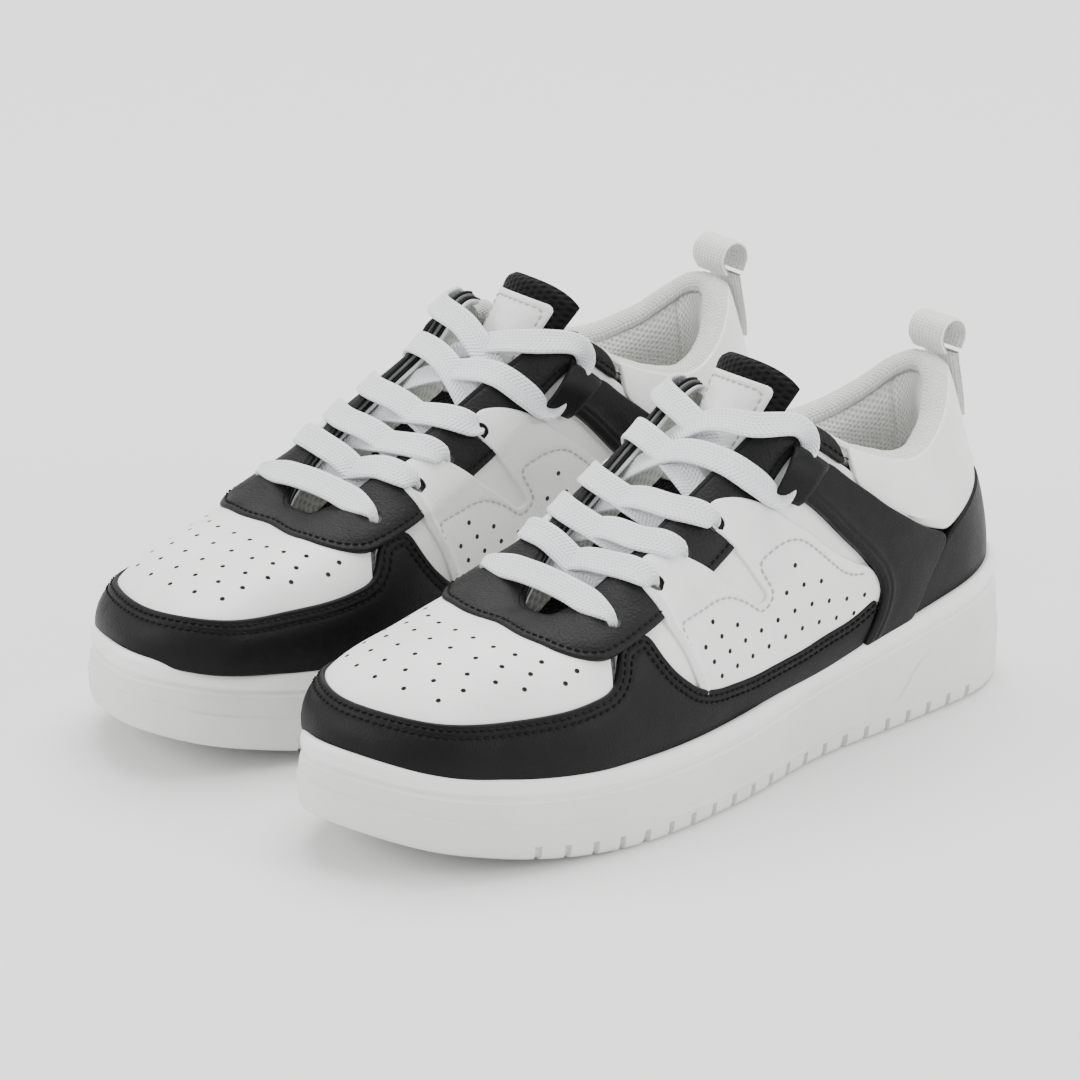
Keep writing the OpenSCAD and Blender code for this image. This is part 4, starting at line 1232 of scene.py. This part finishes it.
# Dark grey for the walls and floors of the punched holes and eyelets: painted shade inside the holes.
punched_hole_shade = plain("punched_hole_shade", (0.10, 0.10, 0.095), 0.9)
edge_grey = plain("edge_grey", (0.12, 0.12, 0.12), 0.7)
edge_white = plain("edge_white", (0.70, 0.71, 0.69), 0.7)
black_mesh = mesh_fabric("black_mesh", (0.006, 0.006, 0.006), 1.9, 0.5, 0.12, sheen=0.03, shine=0.12)
lining_mesh = mesh_fabric("lining_mesh", (0.79, 0.80, 0.76), 1.9, 0.4, 0.78)
binding_knit = knitted("binding_knit", (0.80, 0.815, 0.77))
lace_cotton = woven_lace("lace_cotton", (0.82, 0.83, 0.86))
tab_webbing = ribbed("tab_webbing", (0.80, 0.81, 0.78), 1.5, 0.14)


# ---------------------------------------------------------------- putting the pair together

def threads(name, rows, height, material):
    shape = Shape()
    for row in rows:
        stitches(shape, row, height)
    make(shape, name, [material])


make(sole(), "sole", [lit_rim_rubber, wall_rubber], replaces=["cupsole"])
insoles = make(insole(), "insole_pad", [lining_mesh], replaces=["insole", "foam_wedge", "lasting_board"])
make(toe_cap(), "toe_cap_skin", [white_leather, punched_hole_shade], replaces=["toe_cap"])
shape, rows = bumper()
make(shape, "bumper_skin", [black_leather], replaces=["bumper"])
threads("bumper_stitches", rows, 2.35, black_thread)
shape, rows = eyestay()
make(shape, "eyestay_skin", [charcoal_leather, punched_hole_shade], replaces=["eyestay"])
threads("eyestay_stitches", rows, lambda uv: eyestay_height(uv) + 0.1, black_thread)
for side, medial in (("lateral", False), ("medial", True)):
    make(quarter(medial), f"quarter_{side}_skin", [white_leather], replaces=[f"quarter_{side}"])
    shape, row = overlay(medial)
    make(shape, f"overlay_{side}_skin", [white_leather, punched_hole_shade], replaces=[f"overlay_{side}"])
    threads(f"overlay_{side}_stitches", [row], lambda uv: overlay_height(uv) + 0.08, grey_thread)
    make(strap(medial), f"strap_{side}_skin", [black_leather], replaces=[f"strap_{side}"])
    make(lace_loop(medial), f"loop_{side}_skin", [black_leather], replaces=[f"loop_{side}"])
make(heel_counter(), "counter_skin", [black_leather], replaces=["heel_counter", "heel_stiffener"])
make(collar_panel(), "collar_skin", [white_leather], replaces=["collar_panel"])
make(facing_edges(), "facing_edges", [black_leather, edge_grey, edge_white])
bindings = make(collar_binding(), "binding", [binding_knit], replaces=["collar_binding"])
linings = make(collar_lining(), "collar_mesh", [lining_mesh], replaces=["collar_lining", "collar_padding"])
make(vamp_lining(), "vamp_mesh", [lining_mesh], replaces=["vamp_lining"])
tongues = make(tongue(), "tongue_pad", [black_mesh], body=None, replaces=["tongue", "tongue_top"])
shape, thread = label()
make(shape, "label_skin", [white_leather], body="tongue_flap", replaces=["tongue_label"])
make(thread, "label_stitches", [grey_thread], body="tongue_flap")
make(webbing(TAB_PATH, 1.8), "tab_loop", [tab_webbing], body="pull_tab_loop", replaces=["pull_tab"])
make(webbing(BASE_PATH, 1.6), "tab_base", [tab_webbing], replaces=["pull_tab_base"])
make(lace(), "lace_ribbon", [lace_cotton], replaces=["lace"])

for side, piece in zip(("left", "right"), tongues):
    start, end = (PLACES[side](tongue_point(0.0, b, -3.3)[None])[0] for b in (TONGUE_HINGE - 0.06,
                                                                              TONGUE_HINGE + 0.06))
    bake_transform(piece)

# ---------------------------------------------------------------- floor, light and camera

bpy.ops.mesh.primitive_plane_add(size=12)
floor = bpy.context.object
floor.name = "studio_floor"
floor.data.materials.append(Nodes("floor_paper", (0.80, 0.805, 0.795), 0.9).material)


def area_light(name, place, aim, size, power, color=(1, 1, 1)):
    data = bpy.data.lights.new(name, "AREA")
    data.shape = "RECTANGLE"
    data.size, data.size_y = size
    data.energy = power
    data.color = color
    lamp = bpy.data.objects.new(name, data)
    bpy.context.scene.collection.objects.link(lamp)
    lamp.location = place
    lamp.rotation_euler = (Vector(aim) - Vector(place)).to_track_quat("-Z", "Y").to_euler()


AIM = (0, 0, 0.05)
area_light("top_soft", (-0.4, 0.5, 1.9), AIM, (1.8, 1.8), 52)
area_light("left_soft", (-1.0, -1.6, 1.1), AIM, (1.4, 1.0), 24)
area_light("right_soft", (1.9, 0.9, 0.9), AIM, (1.0, 1.2), 24)

world = bpy.data.worlds.new("studio")
bpy.context.scene.world = world
world.use_nodes = True
world.node_tree.nodes["Background"].inputs["Color"].default_value = (0.95, 0.955, 0.95, 1)
world.node_tree.nodes["Background"].inputs["Strength"].default_value = 1.2

camera_data = bpy.data.cameras.new("camera")
camera_data.lens = 207.52
camera_data.sensor_width = 36
camera_data.clip_end = 50
camera = bpy.data.objects.new("camera", camera_data)
bpy.context.scene.collection.objects.link(camera)
right = Vector((0.66882, 0.74342, 0.0))
up = Vector((-0.26562, 0.23897, 0.93399))
back = right.cross(up)
camera.matrix_world = Matrix.Translation((1.38435, -1.24969, 0.77)) @ Matrix((right, up,
                                                                              back)).transposed().to_4x4()
bpy.context.scene.camera = camera
